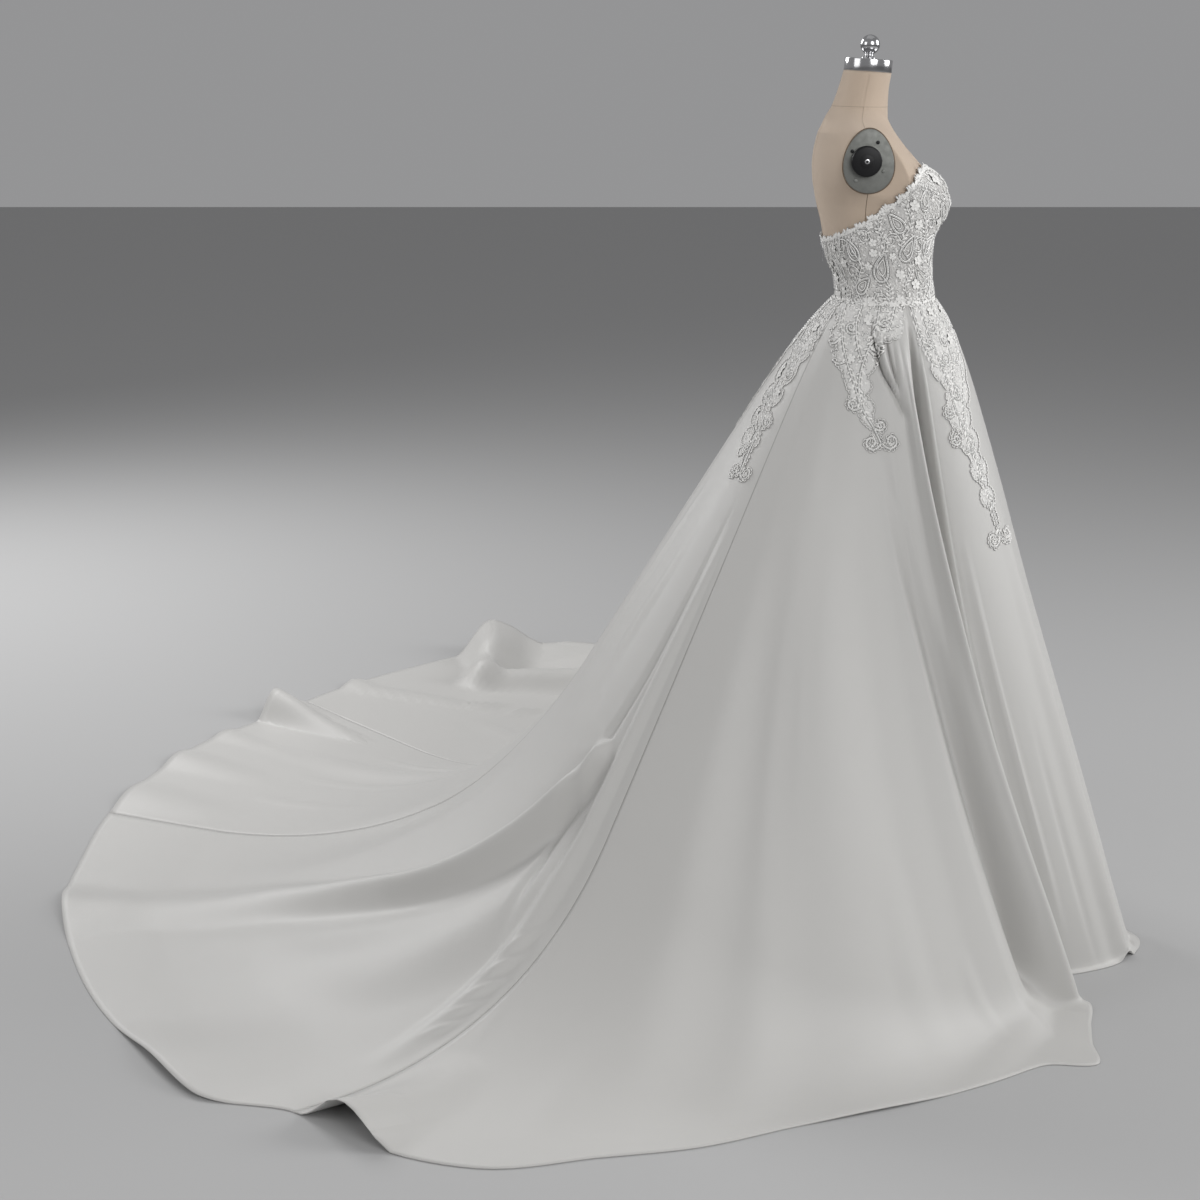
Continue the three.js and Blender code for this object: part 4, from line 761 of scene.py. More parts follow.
    def bugles(self, path, length, radius, lift):
        """Bugle beads end to end along a path, with small gaps."""
        run = run_length(path)
        count = max(int(run[-1] / (length * 1.22)), 1)
        for k in range(count):
            at = (k + 0.5) / count * run[-1]
            p, q = along_path(path, run, at), along_path(path, run, at + 0.5)
            angle = math.atan2(*(q - p)[::-1])
            self.place(BUGLE, BUGLE_FACES, p, angle, (length / 2, radius, radius * 1.5), BUGLES, lift)
            self.take(p, length / 2)


def smooth_path(points, step):
    """Smooth path through the points, in equal steps."""
    p = np.asarray(points, float)
    p = np.vstack([2 * p[0] - p[1], p, 2 * p[-1] - p[-2]])
    out = []
    for k in range(1, len(p) - 2):
        t = np.linspace(0, 1, 24, endpoint=False)[:, None]
        a, b, c, d = p[k - 1], p[k], p[k + 1], p[k + 2]
        out.append(0.5 * (2 * b + (c - a) * t + (2 * a - 5 * b + 4 * c - d) * t**2
                          + (3 * b - a - 3 * c + d) * t**3))
    out = np.vstack(out + [p[-2:-1]])
    run = run_length(out)
    return along_path(out, run, np.arange(0, run[-1], step))


def scroll(start, heading, hand, size, turns, step):
    """Path that starts straight and winds up into a curl about 'size' across."""
    p, out, angle, gone = np.array(start, float), [np.array(start, float)], heading, 0.0
    widest = size * 0.5
    total = size + turns * math.pi * size * 0.72
    bend_from = size / total * 0.5
    while gone < total:
        part = gone / total
        wound = (part - bend_from) / (1 - bend_from)
        radius = widest * 6 if part < bend_from else widest * (1.15 - 0.75 * wound)
        angle += hand * step / max(radius, 1.6)
        p = p + step * towards(angle)
        out.append(p.copy())
        gone += step
    return np.array(out)


def trim(path, inside):
    """The first part of a path that stays on the lace."""
    keep = inside(path)
    stop = int(np.argmin(keep)) if not keep.all() else len(path)
    return path[:stop]


def vine(lace, path, inside, leaf_length, thick=1.25):
    """A beaded stem with leaves to both sides."""
    path = trim(path, inside)
    if len(path) < 5:
        return path
    # painted shadow under the stem
    lace.ribbon(path, thick + 1.0)
    lace.cord(path, thick, CORD_HEIGHT, THREAD_LIFT)
    lace.bugles(path, 3.4, 0.6, 1.4)
    along = np.gradient(path, axis=0)
    gap = max(int(leaf_length * 0.62 / 1.8), 2)
    for n, k in enumerate(range(gap, len(path) - 2, gap)):
        side = 1 if n % 2 else -1
        angle = math.atan2(along[k, 1], along[k, 0]) + side * rng.uniform(0.6, 0.95)
        size = leaf_length * rng.uniform(0.75, 1.1)
        tip = path[k] + size * towards(angle)
        middle = path[k] + (1.8 + 0.5 * size) * towards(angle)
        if inside(tip[None])[0] and lace.free(middle, 0.8):
            lace.leaf(path[k] + (thick + 0.3) * towards(angle), angle, size, size * 0.44)
    return path


def small_work(lace, p, angle):
    """A small leaf, loop or bugle bead."""
    choice = rng.random()
    if choice < 0.58:
        lace.leaf(p - 2.4 * towards(angle), angle, rng.uniform(4.4, 6.2), rng.uniform(2.2, 3.2))
    elif choice < 0.8:
        lace.loop(p, angle, rng.uniform(1.7, 2.9))
    else:
        lace.place(BUGLE, BUGLE_FACES, p, angle, (rng.uniform(1.4, 2.1), 0.7, 1.1), BUGLES, 0.3)
        lace.take(p, 1.6)


def fill(lace, inside, work_gap, bead_gap):
    """Small work where there is room, and then beads."""
    low, high = lace.low, lace.high
    for gap, beads in ((work_gap, False), (bead_gap, True)):
        rows = int((high[1] - low[1]) / gap) + 1
        for x in np.arange(low[0], high[0], gap):
            spots = np.stack([np.full(rows, x), low[1] + gap * np.arange(rows)], -1)
            spots = spots + rng.uniform(-0.42 * gap, 0.42 * gap, spots.shape)
            for p in spots[inside(spots)]:
                if not beads and lace.free(p, 1.2):
                    small_work(lace, p, swirl(p) + rng.normal(0, 0.6))
                elif beads and lace.free(p, 0.9):
                    lace.bead(p, rng.uniform(0.55, 0.95), 0.2)


def net_ground(lace, distance, cell=3.4):
    """Net under the lace: small cells, with the edge points drawn onto the outline."""
    low, high = lace.low - 6, lace.high + 6
    xs, ys = np.arange(low[0], high[0], cell), np.arange(low[1], high[1], cell)
    grid = np.stack(np.meshgrid(xs, ys, indexing="ij"), -1)
    d = distance(grid.reshape(-1, 2)).reshape(grid.shape[:2])
    keep = d < cell * 0.45
    cells = keep[:-1, :-1] & keep[1:, :-1] & keep[:-1, 1:] & keep[1:, 1:]
    gx, gy = np.gradient(d, cell)
    slope = np.maximum(gx**2 + gy**2, 0.2)
    at_edge = d > -cell * 0.6
    move = np.where(at_edge, d, 0)
    grid = grid - np.stack([gx * move / slope, gy * move / slope], -1)
    used = np.zeros(keep.shape, bool)
    for i in (0, 1):
        for j in (0, 1):
            used[i:used.shape[0] - 1 + i, j:used.shape[1] - 1 + j] |= cells
    index = np.full(keep.shape, -1)
    index[used] = np.arange(used.sum())
    points = np.column_stack([grid[used], np.where(at_edge, -0.35, 0.0)[used]])
    corners = (index[:-1, :-1], index[1:, :-1], index[1:, 1:], index[:-1, 1:])
    lace.add(points, np.stack([corner[cells] for corner in corners], -1).tolist(), NET)


def lace_piece(name, lace, lay, flip):
    """A drawing laid on the cloth, with its flat shape as the cut."""
    flat = np.vstack(lace.points)
    piece = new_mesh(name, lay(flat), lace.faces)
    mesh = piece.data
    for material in LACE_MATERIALS:
        mesh.materials.append(material)
    mesh.polygons.foreach_set("material_index", np.array(lace.kinds, np.int32))
    if flip:
        mesh.flip_normals()
    set_cut(mesh, flat[:, :2] * MM)
    mesh.update()
    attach(piece, DRESS)
    return piece


def swirl(p):
    """Which way the small work lies."""
    return 1.1 * math.sin(0.045 * p[0] + 0.8) + 1.3 * math.sin(0.05 * p[1] + 0.02 * p[0]) + 0.6


def crowded(p):
    """Where the work is close; elsewhere the ground shows."""
    x, y = p[:, 0], p[:, 1]
    return (np.sin(0.11 * x + 1.7 * np.sin(0.06 * y)) + np.sin(0.13 * y + 1.3 * np.sin(0.05 * x))
            + 0.8 * np.sin(0.21 * x - 0.17 * y)) > -0.75


# Bodice: a close-fitting lined wall with lace all over it
BODICE = [
    ("bodice_cup_front", "bodice_front", -70, 70, 120),
    ("bodice_wall_side_right", "bodice_side_right", 70, 125, 44),
    ("bodice_wall_back_right", "bodice_back_right", 125, 180, 44),
    ("bodice_wall_back_left", "bodice_back_left", 180, 235, 44),
    ("bodice_wall_side_left", "bodice_side_left", 235, 290, 44),
]
BODICE_OUT = FORM_GAP + BODICE_WALL
BODICE_FOOT = WAIST_HEIGHT + 0.15
# The neckline's points: degrees from one to the next, and their height
POINT_SPACING, POINT_HEIGHT = 12.9, 5
ZIP_OPENING = 3.0


def mirrored(angle):
    """The same place on the right side, 0 to 180 degrees."""
    turn = np.mod(angle, 360)
    return np.minimum(turn, 360 - turn)


def neck_edge(angle):
    return curve(NECKLINE, 1, mirrored(angle))


def bodice_point(angle, z, out):
    rise = np.clip((z - CUP_EASE_FROM) / CUP_EASE_RISE, 0, 1)
    return section(angle, z, out + CUP_EASE * rise)


for name, node, first, last, columns in BODICE:
    angles = np.linspace(first, last, columns + 1)
    if last == 180:
        angles[-1] -= ZIP_OPENING
    if first == 180:
        angles[0] += ZIP_OPENING
    top = neck_edge(angles) + POINT_HEIGHT * np.abs(np.cos(math.pi * mirrored(angles) / POINT_SPACING))
    z = BODICE_FOOT + (top[:, None] - WAIST_HEIGHT) * np.linspace(0, 1, 61)[None, :]
    outer = bodice_point(angles[:, None], z, BODICE_OUT)
    inner = bodice_point(angles[:, None], z, FORM_GAP)
    across = run_length(outer)
    piece = cloth_shell(name, outer, inner, np.stack([across, z], -1) * MM)
    finish_piece(piece, lining, "beaded_lace", node)

# Chart of the right half of the bodice: across from the side seam towards the back, and height
CHART_STEP = 4.0
chart_z = np.arange(1190.0, 1440.0, CHART_STEP)
chart_angle = np.arange(-6.0, 186.1, 0.5)
round_way = run_length(bodice_point(chart_angle[:, None], chart_z[None, :], BODICE_OUT))
round_way = round_way - round_way[int(np.argmin(np.abs(chart_angle - 90)))]
# The lace's own limits: first and last angle, lowest and highest place
LACE_ANGLES = (0.4, 178.2)
LACE_FOOT, LACE_TOP = 1193, 1430


def chart_to_angle(s, z):
    row = np.clip((z - chart_z[0]) / CHART_STEP, 0, len(chart_z) - 1.001)
    k = row.astype(int)
    out = np.zeros(s.shape)
    for value in np.unique(k):
        on = k == value
        low = np.interp(s[on], round_way[:, value], chart_angle)
        high = np.interp(s[on], round_way[:, value + 1], chart_angle)
        out[on] = low + (high - low) * (row[on] - value)
    return out


def lay_on_bodice(flat, side):
    def at(s, z):
        return bodice_point(chart_to_angle(s, z), z, BODICE_OUT)
    s, z, h = flat[:, 0], flat[:, 1], flat[:, 2]
    p = at(s, z)
    n = facing(unit(np.cross(at(s + 1.0, z) - p, at(s, z + 1.0) - p)), p * [1, 1, 0])
    over_waist = np.clip((WAIST_HEIGHT + 3.0 - z) / 3.0, 0, 2.5)
    q = p + n * (h + 0.25 + 0.7 * over_waist)[:, None]
    q[:, 1] *= side
    return q


def on_bodice(p, over=1.0):
    p = np.atleast_2d(p)
    angle = chart_to_angle(p[:, 0], np.clip(p[:, 1], LACE_FOOT - 2, LACE_TOP))
    return ((angle > LACE_ANGLES[0]) & (angle < LACE_ANGLES[1])
            & (p[:, 1] > LACE_FOOT) & (p[:, 1] < neck_edge(angle) + over))


# Teardrops of the bodice lace: across, height, heading, half width, half length
TEARDROPS = [
    (-39, 1294, 0.5, 15, 25), (-60, 1243, -0.5, 13, 21), (11, 1262, 0.3, 15, 26),
    (-14, 1336, -0.7, 13, 20), (-94, 1298, 0.9, 14, 23), (-126, 1356, -0.3, 15, 22),
    (-142, 1262, 0.4, 14, 23), (62, 1290, -0.5, 13, 20), (50, 1230, 0.8, 13, 19),
    (104, 1260, -0.4, 13, 20), (152, 1284, 0.4, 12, 17), (142, 1228, -0.8, 12, 17),
    (-104, 1226, 0.1, 12, 18), (-76, 1372, 0.5, 13, 19), (-165, 1318, 0.2, 12, 18),
]


def teardrop(lace, across, height, heading, wide, long):
    """Two outlines, one inside the other, with bugles on the outer one and three beads within."""
    turn = np.linspace(0.25, 2 * math.pi - 0.25, 44)
    c, s = math.cos(heading), math.sin(heading)
    for share in (1.0, 0.55):
        x = share * wide * np.sin(turn) * np.sin(turn / 2) ** 1.1
        y = share * long * np.cos(turn)
        path = np.stack([across + c * x - s * y, height + s * x + c * y], -1)
        path = path[on_bodice(path)]
        # painted shadow under the outline
        lace.ribbon(path, 2.5 * share + 0.3)
        lace.cord(path, 1.6 * share + 0.1, CORD_HEIGHT, THREAD_LIFT)
        if share == 1.0:
            lace.bugles(path, 3.2, 0.65, 1.5)
    for k in (-0.35, 0.0, 0.35):
        p = np.array([across - s * long * (k - 0.2), height + c * long * (k - 0.2)])
        if on_bodice(p[None])[0]:
            lace.bead(p, 1.5 - abs(k), 0.3)
            lace.take(p, 0.52 * wide)


def side_curls(lace, path, n):
    """Curls that leave the nth stem to both sides where there is room."""
    along = np.gradient(path, axis=0)
    hand = 1
    for k in range(6, len(path) - 4, 15):
        hand = -hand
        heading = math.atan2(along[k, 1], along[k, 0]) + hand * 0.75
        winding = hand if (k // 12 + n) % 3 else -hand
        curl = scroll(path[k], heading, winding, rng.uniform(20, 31), 0.85, 2.0)
        middle = curl[len(curl) // 2:]
        if on_bodice(curl).mean() > 0.85 and np.mean([lace.free(q, 1.0) for q in middle[::2]]) > 0.8:
            vine(lace, curl, on_bodice, 7.0)
            if lace.free(curl[-1], 1.2):
                lace.bead(curl[-1], 1.4, 0.4)


def waist_leaves(lace):
    """Crowded leaves over the waist seam."""
    for row, height in enumerate((1206.5, 1202.5, 1199.5)):
        for s in np.arange(-186 + 2 * row, 188, 4.3):
            p = np.array([s, height + rng.uniform(-1.8, 1.8)])
            if on_bodice(np.array([[s, 1206.0]]))[0]:
                if row == 0:
                    turn = rng.uniform(0, 6.3)
                else:
                    turn = rng.choice((0.0, math.pi)) + rng.uniform(-0.55, 0.55)
                lace.leaf(p, turn, rng.uniform(5, 7.5), 3.2)


def neck_place(s):
    """Waist angle and height of the neckline at a place across the chart."""
    angle = chart_to_angle(np.array([s]), np.array([1350.0]))
    for _ in range(5):
        angle = chart_to_angle(np.array([s]), np.minimum(neck_edge(angle), LACE_TOP))
    return float(angle[0]), float(neck_edge(angle)[0])


def neck_leaf(lace, s, z, point):
    """Leaves that stand up from the neckline; 'point' is 1 at its points and 0 between them."""
    upright = math.pi / 2
    lean = rng.uniform(-0.35, 0.35)
    length = 5.5 + 5.0 * point**2 + rng.uniform(-1.8, 2.6)
    kind = PETALS if point > 0.7 else THREAD
    lace.leaf((s, z - 3.5), upright + lean, length, 4.2 + 1.4 * point, kind, 0.5)
    if point > 0.88:
        for aside in (-1, 1):
            lace.leaf((s + 3 * aside, z - 2), upright - 0.65 * aside, length * 0.75, 3.6, THREAD, 0.5)
        lace.bead((s, z + 1.5), 1.1, 1.6)


def bodice_lace():
    lace = Lace((-190, 1192), (200, 1432))
    stems = []
    for n, s in enumerate(np.arange(-165, 190, 44.0)):
        wave = 9 if n % 2 else -9
        points = [(s + 4 * math.sin(n), 1195), (s + wave, 1228), (s - wave * 0.8, 1262),
                  (s + wave * 0.9, 1298), (s - wave * 0.7, 1334), (s + wave * 0.6, 1372), (s, 1412)]
        stems.append(smooth_path(np.array(points) + rng.uniform(-2.5, 2.5, (7, 2)), 1.8))
    for row in TEARDROPS:
        teardrop(lace, *row)
    for n, path in enumerate(stems):
        kept = vine(lace, path[np.argmax(on_bodice(path)):], on_bodice, 8.0)
        if len(kept) >= 8:
            side_curls(lace, kept, n)
    for s in np.arange(-176, 185, 13.0):
        for z in np.arange(1206, 1424, 14.0):
            p = np.array([s, z]) + rng.uniform(-5, 5, 2)
            size = rng.uniform(6.0, 11.0)
            if on_bodice(p[None], -size)[0] and lace.free(p, size * 0.7):
                lace.flower(p, size, rng.uniform(0, 6.3))
    fill(lace, lambda p: on_bodice(p) & crowded(p), 4.3, 2.8)
    fill(lace, on_bodice, 9.0, 6.0)
    waist_leaves(lace)
    s = -184.0
    while s < 186:
        turn, z = neck_place(s)
        if 0.8 < turn < 178:
            neck_leaf(lace, s, z, abs(math.cos(math.pi * turn / POINT_SPACING)))
        s += 3.7
    return lace


drawing = bodice_lace()
for suffix, side in (("right", 1), ("left", -1)):
    lace_piece(f"bodice_lace_{suffix}", drawing, lambda flat: lay_on_bodice(flat, side), flip=side < 0)


# Lace on the skirt: waist angle and length down the skirt, laid from the middle of each piece
CHART_LENGTHS = np.arange(0.5, 700, 5.0)


def skirt_chart(centre):
    """Millimetres to a degree round the skirt, at each of the chart's lengths."""
    reach = 10.0
    ends = [skirt(centre + aside, CHART_LENGTHS) for aside in (reach, -reach)]
    return np.linalg.norm(ends[0] - ends[1], axis=-1) / (2 * reach)


def lay_on_skirt(flat, centre, side):
    down = np.clip(flat[:, 1], 0.5, None)
    per_degree = np.interp(down, CHART_LENGTHS, skirt_chart(centre))

    def at(across, further):
        return skirt(side * (centre + (flat[:, 0] + across) / per_degree), down + further)
    p = at(0, 0)
    n = facing(unit(np.cross(at(1.2, 0) - at(-1.2, 0), at(0, 1.2) - at(0, -0.4))), up_and_out(p))
    return p + n * (flat[:, 2] + CLOTH / 2 + 0.55)[:, None]


# Edges of the lace: length down the skirt, waist angle of each edge
LACE_EDGE = {
    "front": [(2, 0.3, 75), (60, 8, 73), (105, 14, 64), (168, 20, 61.5), (225, 25, 62), (265, 27, 58),
              (300, 26, 53), (343, 24, 50), (385, 23.5, 47), (430, 21, 44), (478, 21, 43)],
    "hip": [(2, 80, 154), (40, 84, 152), (70, 92, 146), (105, 100, 138), (166, 104, 130), (205, 100, 124),
            (240, 95, 120), (282, 95, 114)],
    "back": [(2, 156, 179.6), (60, 156.2, 179.2), (110, 157, 178.6), (170, 157.2, 177.5), (232, 157.2, 175.5),
             (285, 157.3, 173.5), (325, 157.4, 171.5), (362, 157.8, 170), (396, 158.3, 168.5)],
}
# Each piece: middle angle, stems as points of waist angle and length, and curls as point, heading in degrees,
# hand and size
CLUSTERS = {
    "front": dict(centre=45.0, ends=(2, 478), stems=[
        [(16, 4), (19, 40), (24, 85), (30, 130), (38, 175), (42, 225), (38, 275), (35, 325),
         (33.5, 375), (33, 415)],
        [(62, 4), (59, 45), (55, 90), (50, 135), (48, 180), (42, 225)],
        [(40, 4), (42, 50), (38, 95), (44, 140), (38, 175)],
        [(72, 6), (70, 35), (66, 70), (60, 105)]],
        curls=[((42, 225), 150, -1, 27), ((53, 215), 40, 1, 20), ((33, 412), 120, 1, 23),
               ((33, 412), 60, -1, 23),
               ((34, 340), 140, -1, 17), ((37, 290), 40, 1, 16), ((25, 95), 60, -1, 22),
               ((55, 92), 120, 1, 22),
               ((44, 140), 150, -1, 20), ((20, 45), 40, -1, 19), ((60, 45), 150, 1, 19),
               ((41, 48), 30, 1, 20),
               ((48, 180), 60, -1, 20), ((66, 70), 150, 1, 16)],
        ground=[((22, 20), 30), ((45, 20), 34), ((64, 20), 26), ((73, 16), 17), ((70, 42), 17),
        ((30, 60), 34),
                ((50, 60), 34), ((66, 62), 20), ((64, 86), 16),
                ((34, 105), 34), ((50, 105), 30), ((40, 150), 32), ((44, 195), 27), ((40, 240), 24),
                ((37, 290), 22),
                ((35.5, 340), 18)]),
    "hip": dict(centre=118.0, ends=(2, 284), stems=[
        [(146, 4), (142, 30), (136, 62), (129, 98), (122, 135), (117, 172), (110, 205), (106, 232)],
        [(104, 4), (107, 35), (112, 68), (117, 100), (119, 135), (117, 172)],
        [(124, 4), (126, 35), (122, 70), (117, 100)],
        [(90, 4), (93, 24), (98, 46)]],
        curls=[((137, 60), 60, -1, 22), ((129, 98), 40, -1, 19), ((106, 230), 55, -1, 21),
               ((106, 230), 140, 1, 22),
               ((117, 172), 40, -1, 17), ((110, 205), 150, 1, 15), ((107, 35), 140, 1, 16),
               ((124, 50), 20, -1, 17),
               ((113, 75), 130, 1, 15)],
        ground=[((82, 12), 13), ((86, 16), 18), ((94, 22), 18), ((87, 42), 14), ((97, 44), 16),
                ((104, 20), 20), ((118, 22), 26), ((132, 22), 26), ((145, 18), 17), ((110, 55), 20),
                ((124, 58), 28), ((136, 58), 20), ((118, 95), 24), ((128, 96), 20), ((119, 135), 20),
                ((115, 172), 15)]),
    "back": dict(centre=167.0, ends=(2, 398), stems=[
        [(168, 4), (170, 45), (167, 90), (165, 140), (167, 190), (164, 240), (163, 290), (162, 335)],
        [(176, 4), (175, 50), (172, 95), (167, 140)],
        [(160, 4), (160, 50), (162, 95), (165, 140)]],
        curls=[((162.2, 333), 60, -1, 20), ((162.2, 333), 130, 1, 20), ((163, 290), 45, -1, 16),
               ((164, 240), 140, 1, 17),
               ((167, 190), 50, -1, 18), ((166, 150), 140, 1, 17), ((170, 45), 40, -1, 20),
               ((161, 60), 140, 1, 16),
               ((172, 95), 50, -1, 17)],
        ground=[((162, 20), 20), ((170, 20), 24), ((176, 22), 16), ((163, 60), 24), ((171, 60), 26),
        ((163, 100), 22),
                ((169, 102), 22), ((165, 145), 22), ((165, 190), 19), ((164, 235), 17), ((163, 276), 12),
                ((171, 145), 22), ((170.5, 190), 20), ((169.5, 232), 18), ((168, 272), 16),
                ((166.5, 300), 8)]),
}


def skirt_lace(centre, ends, edges, stems, curls, ground):
    scale = skirt_chart(centre)
    edges = np.array(edges, float)

    def per_degree(lengths):
        return np.interp(lengths, CHART_LENGTHS, scale)

    def flat(points):
        p = np.atleast_2d(np.asarray(points, float))
        return np.stack([(p[:, 0] - centre) * per_degree(p[:, 1]), p[:, 1]], -1)

    def within(p, margin=0.0):
        """Whether points lie between the edges and ends of the piece."""
        p = np.atleast_2d(p)
        scaled = per_degree(p[:, 1])
        angle = centre + p[:, 0] / scaled
        low, high = curve(edges, 1, p[:, 1]), curve(edges, 2, p[:, 1])
        step = margin / scaled
        return (angle > low + step) & (angle < high - step) & (p[:, 1] > ends[0]) & (p[:, 1] < ends[1])

    reach = np.abs((edges[:, 1:] - centre) * per_degree(edges[:, :1])).max()
    lace = Lace((-reach - 8, ends[0] - 2), (reach + 8, ends[1] + 4))
    stems = [smooth_path(flat(points), 1.8) for points in stems]
    curls = [scroll(flat([place])[0], math.radians(heading), hand, size * 1.08, 1.0, 1.9)
             for place, heading, hand, size in curls]

    # the outline is what a row of discs covers: along stems, on curls and at the ground's places
    spots = []
    for n, path in enumerate(stems):
        for k, p in enumerate(path[::3]):
            narrow = 1 - (0.62 if n == 0 else 0.0) * np.clip((3 * k / len(path) - 0.7) / 0.25, 0, 1)
            spots.append((p, (10.5 + 2.5 * math.sin(0.9 * k)) * narrow))
    spots += [(p, 3.0) for path in curls for p in path[::2]]
    spots += [(flat([place])[0], size) for place, size in ground]
    centres, sizes = np.array([p for p, _ in spots]), np.array([r for _, r in spots])

    def distance(p):
        """How far points lie outside the outline; less than nothing inside."""
        out, batch = np.empty(len(p)), 4000
        for start in range(0, len(p), batch):
            part = p[start:start + batch]
            out[start:start + batch] = (np.linalg.norm(part[:, None] - centres[None], axis=-1)
                                        - sizes[None]).min(-1)
        return np.where(within(p), out, np.maximum(out, 3.0))

    def inside(p, margin):
        return distance(np.atleast_2d(p)) < -margin

    # small arcs round the edge
    arcs = []
    for p, r in zip(centres, sizes):
        for turn in np.arange(0, 2 * math.pi, 3.2 / r):
            q = p + r * towards(turn)
            if within(q[None], 1.5)[0] and (np.linalg.norm(centres - q, axis=-1) - sizes).min() > -0.6:
                if all(np.hypot(*(q - other)) > 5.6 for other, _ in arcs[-400:]):
                    arcs.append((q, math.atan2(*(q - p)[::-1])))
    for q, out in arcs:
        arc = [q + 2.9 * towards(out + a) for a in np.linspace(-1.9, 1.9, 7)]
        # painted shadow under the arc
        lace.ribbon(arc, 1.35)
        lace.cord(arc, 0.8, CORD_HEIGHT, THREAD_LIFT)

    for path in stems:
        vine(lace, path, lambda p: within(p, 1.0), 9.0, 1.5)
    for path in curls:
        kept = vine(lace, path, lambda p: within(p, 0.5), 6.5, 1.7)
        if len(kept):
            lace.bead(kept[-1], 1.6, 0.5)
    for place, size in list(ground) * 3:
        p = flat([place])[0] + rng.uniform(-9, 9, 2)
        radius = rng.uniform(6.5, 10.0)
        if size > 14 and lace.free(p, radius * 0.7) and inside(p, radius * 0.8)[0]:
            lace.flower(p, radius, rng.uniform(0, 6.3))
    # crowded leaves under the waist
    for x in np.arange(-reach, reach, 4.2):
        for row in (3.0, 8.5, 14.0):
            p = np.array([x, row]) + rng.uniform(-1.5, 1.5, 2)
            if within(p, 1.5)[0] and lace.free(p, 1.0):
                lace.leaf(p - np.array([0, 1.0]), rng.uniform(0, 6.3) if row > 4 else rng.choice((0.3, 2.8)),
                          rng.uniform(4.5, 6.5), 3.0)
    fill(lace, lambda p: inside(p, 1.2) & crowded(p), 4.7, 3.0)
    fill(lace, lambda p: inside(p, 1.2), 8.0, 5.5)
    net_ground(lace, distance)
    return lace


for kind, plan in CLUSTERS.items():
    drawing = skirt_lace(edges=LACE_EDGE[kind], **plan)
    for suffix, side in (("right", 1), ("left", -1)):
        piece = lace_piece(f"lace_{kind}_{suffix}_beaded", drawing,
                           lambda flat: lay_on_skirt(flat, plan["centre"], side), flip=side < 0)
        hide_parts(f"lace_{kind}_{suffix}")


# Form

def on_form(angle, z):
    """Places on the form, with its flat sides and the tilt of its neck."""
    p = section(angle, z, 0.0, FORM_BUST)
    p[..., 1] = np.clip(p[..., 1], -SIDE_CUT, SIDE_CUT)
    share = np.clip((p[..., 2] - NECK_TILT_FROM) / (NECK_TOP - NECK_TILT_FROM), 0, 1)
    p[..., 2] -= share * (p[..., 0] - NECK_CENTRE) * math.tan(NECK_TILT)
    return p


def level_outward(points):
    """Which way is outward on the form; its axis lies 20 mm towards the back."""
    return unit(points * [1, 1, 0] + [20, 0, 0])


def groove(away, half_width, depth):
    return -depth * crest(np.abs(away) / half_width)


NECK_SEAM = 1521.0
heights = np.concatenate([[905], np.linspace(907, NECK_TOP, 150)])
angles = np.linspace(0, 360, 181)[:-1]
body = on_form(angles[:, None], heights[None, :])
body[:, 0, :2] *= 0.97
seam_depth = sum(groove(turn_from(at, angles[:, None]), 1.6, 1.1) for at in (92.5, 267.5))
beside_plates = (heights[None, :] > 1382) & (heights[None, :] < 1470)
seam_depth = np.where(beside_plates, 0, seam_depth)
for at in (0, 180):
    seam_depth = seam_depth + groove(turn_from(at, angles[:, None]), 1.4, 0.7)
seam_depth = seam_depth + groove(heights[None, :] - NECK_SEAM, 2.2, 0.9)
flat_side = np.abs(body[..., 1]) > SIDE_CUT - 0.01
body = body + level_outward(body) * np.where(flat_side, 0, seam_depth)[..., None]
index = np.arange(body[..., 0].size).reshape(body.shape[:2])
turned = np.roll(index, -1, axis=0)
faces = np.stack([index[:, 1:], turned[:, 1:], turned[:, :-1], index[:, :-1]], -1).reshape(-1, 4).tolist()
faces += [index[:, 0].tolist(), index[::-1, -1].tolist()]
torso = new_mesh("form_body", body.reshape(-1, 3), faces)
volume = sum(Vector(torso.data.vertices[f.vertices[0]].co).dot(f.normal) * f.area
             for f in torso.data.polygons)
if volume < 0:
    torso.data.flip_normals()
round_body = run_length(body)
set_cut(torso.data, np.stack(np.broadcast_arrays(round_body, heights[None, :]), -1).reshape(-1, 2) * MM)
finish_piece(torso, linen, "linen", "form_torso")


def seam_mesh(name, seams):
    """Fine raised threads on the form, each from a path and a half width."""
    points, faces, count = [], [], 0
    for path, radius in seams:
        out = level_outward(path)
        side = unit(np.cross(unit(np.gradient(path, axis=0)), out))
        rows = np.stack([path + radius * (a * side + b * out)
                         for a, b in ((-1, 0), (-0.5, 0.45), (0.5, 0.45), (1, 0))], 1)
        points.append(rows.reshape(-1, 3))
        faces += [[v + count for v in face] for face in strip_faces(len(path), 4)]
        count += 4 * len(path)
    return new_mesh(name, np.vstack(points), faces)


def side_seam(low, high, side):
    """Path of a side seam, which runs towards the middle of the armhole plate."""
    z = np.linspace(low, high, 60)
    front, back = curve(BODY, 1, z), curve(BODY, 2, z)
    share = ((front + back) / 2 - PLATE_X) / ((front - back) / 2)
    turn = np.degrees(np.arcsin(np.clip(share, 0, 1) ** (ROUNDNESS / 2)))
    return on_form(180 + side * (90 - turn), z)


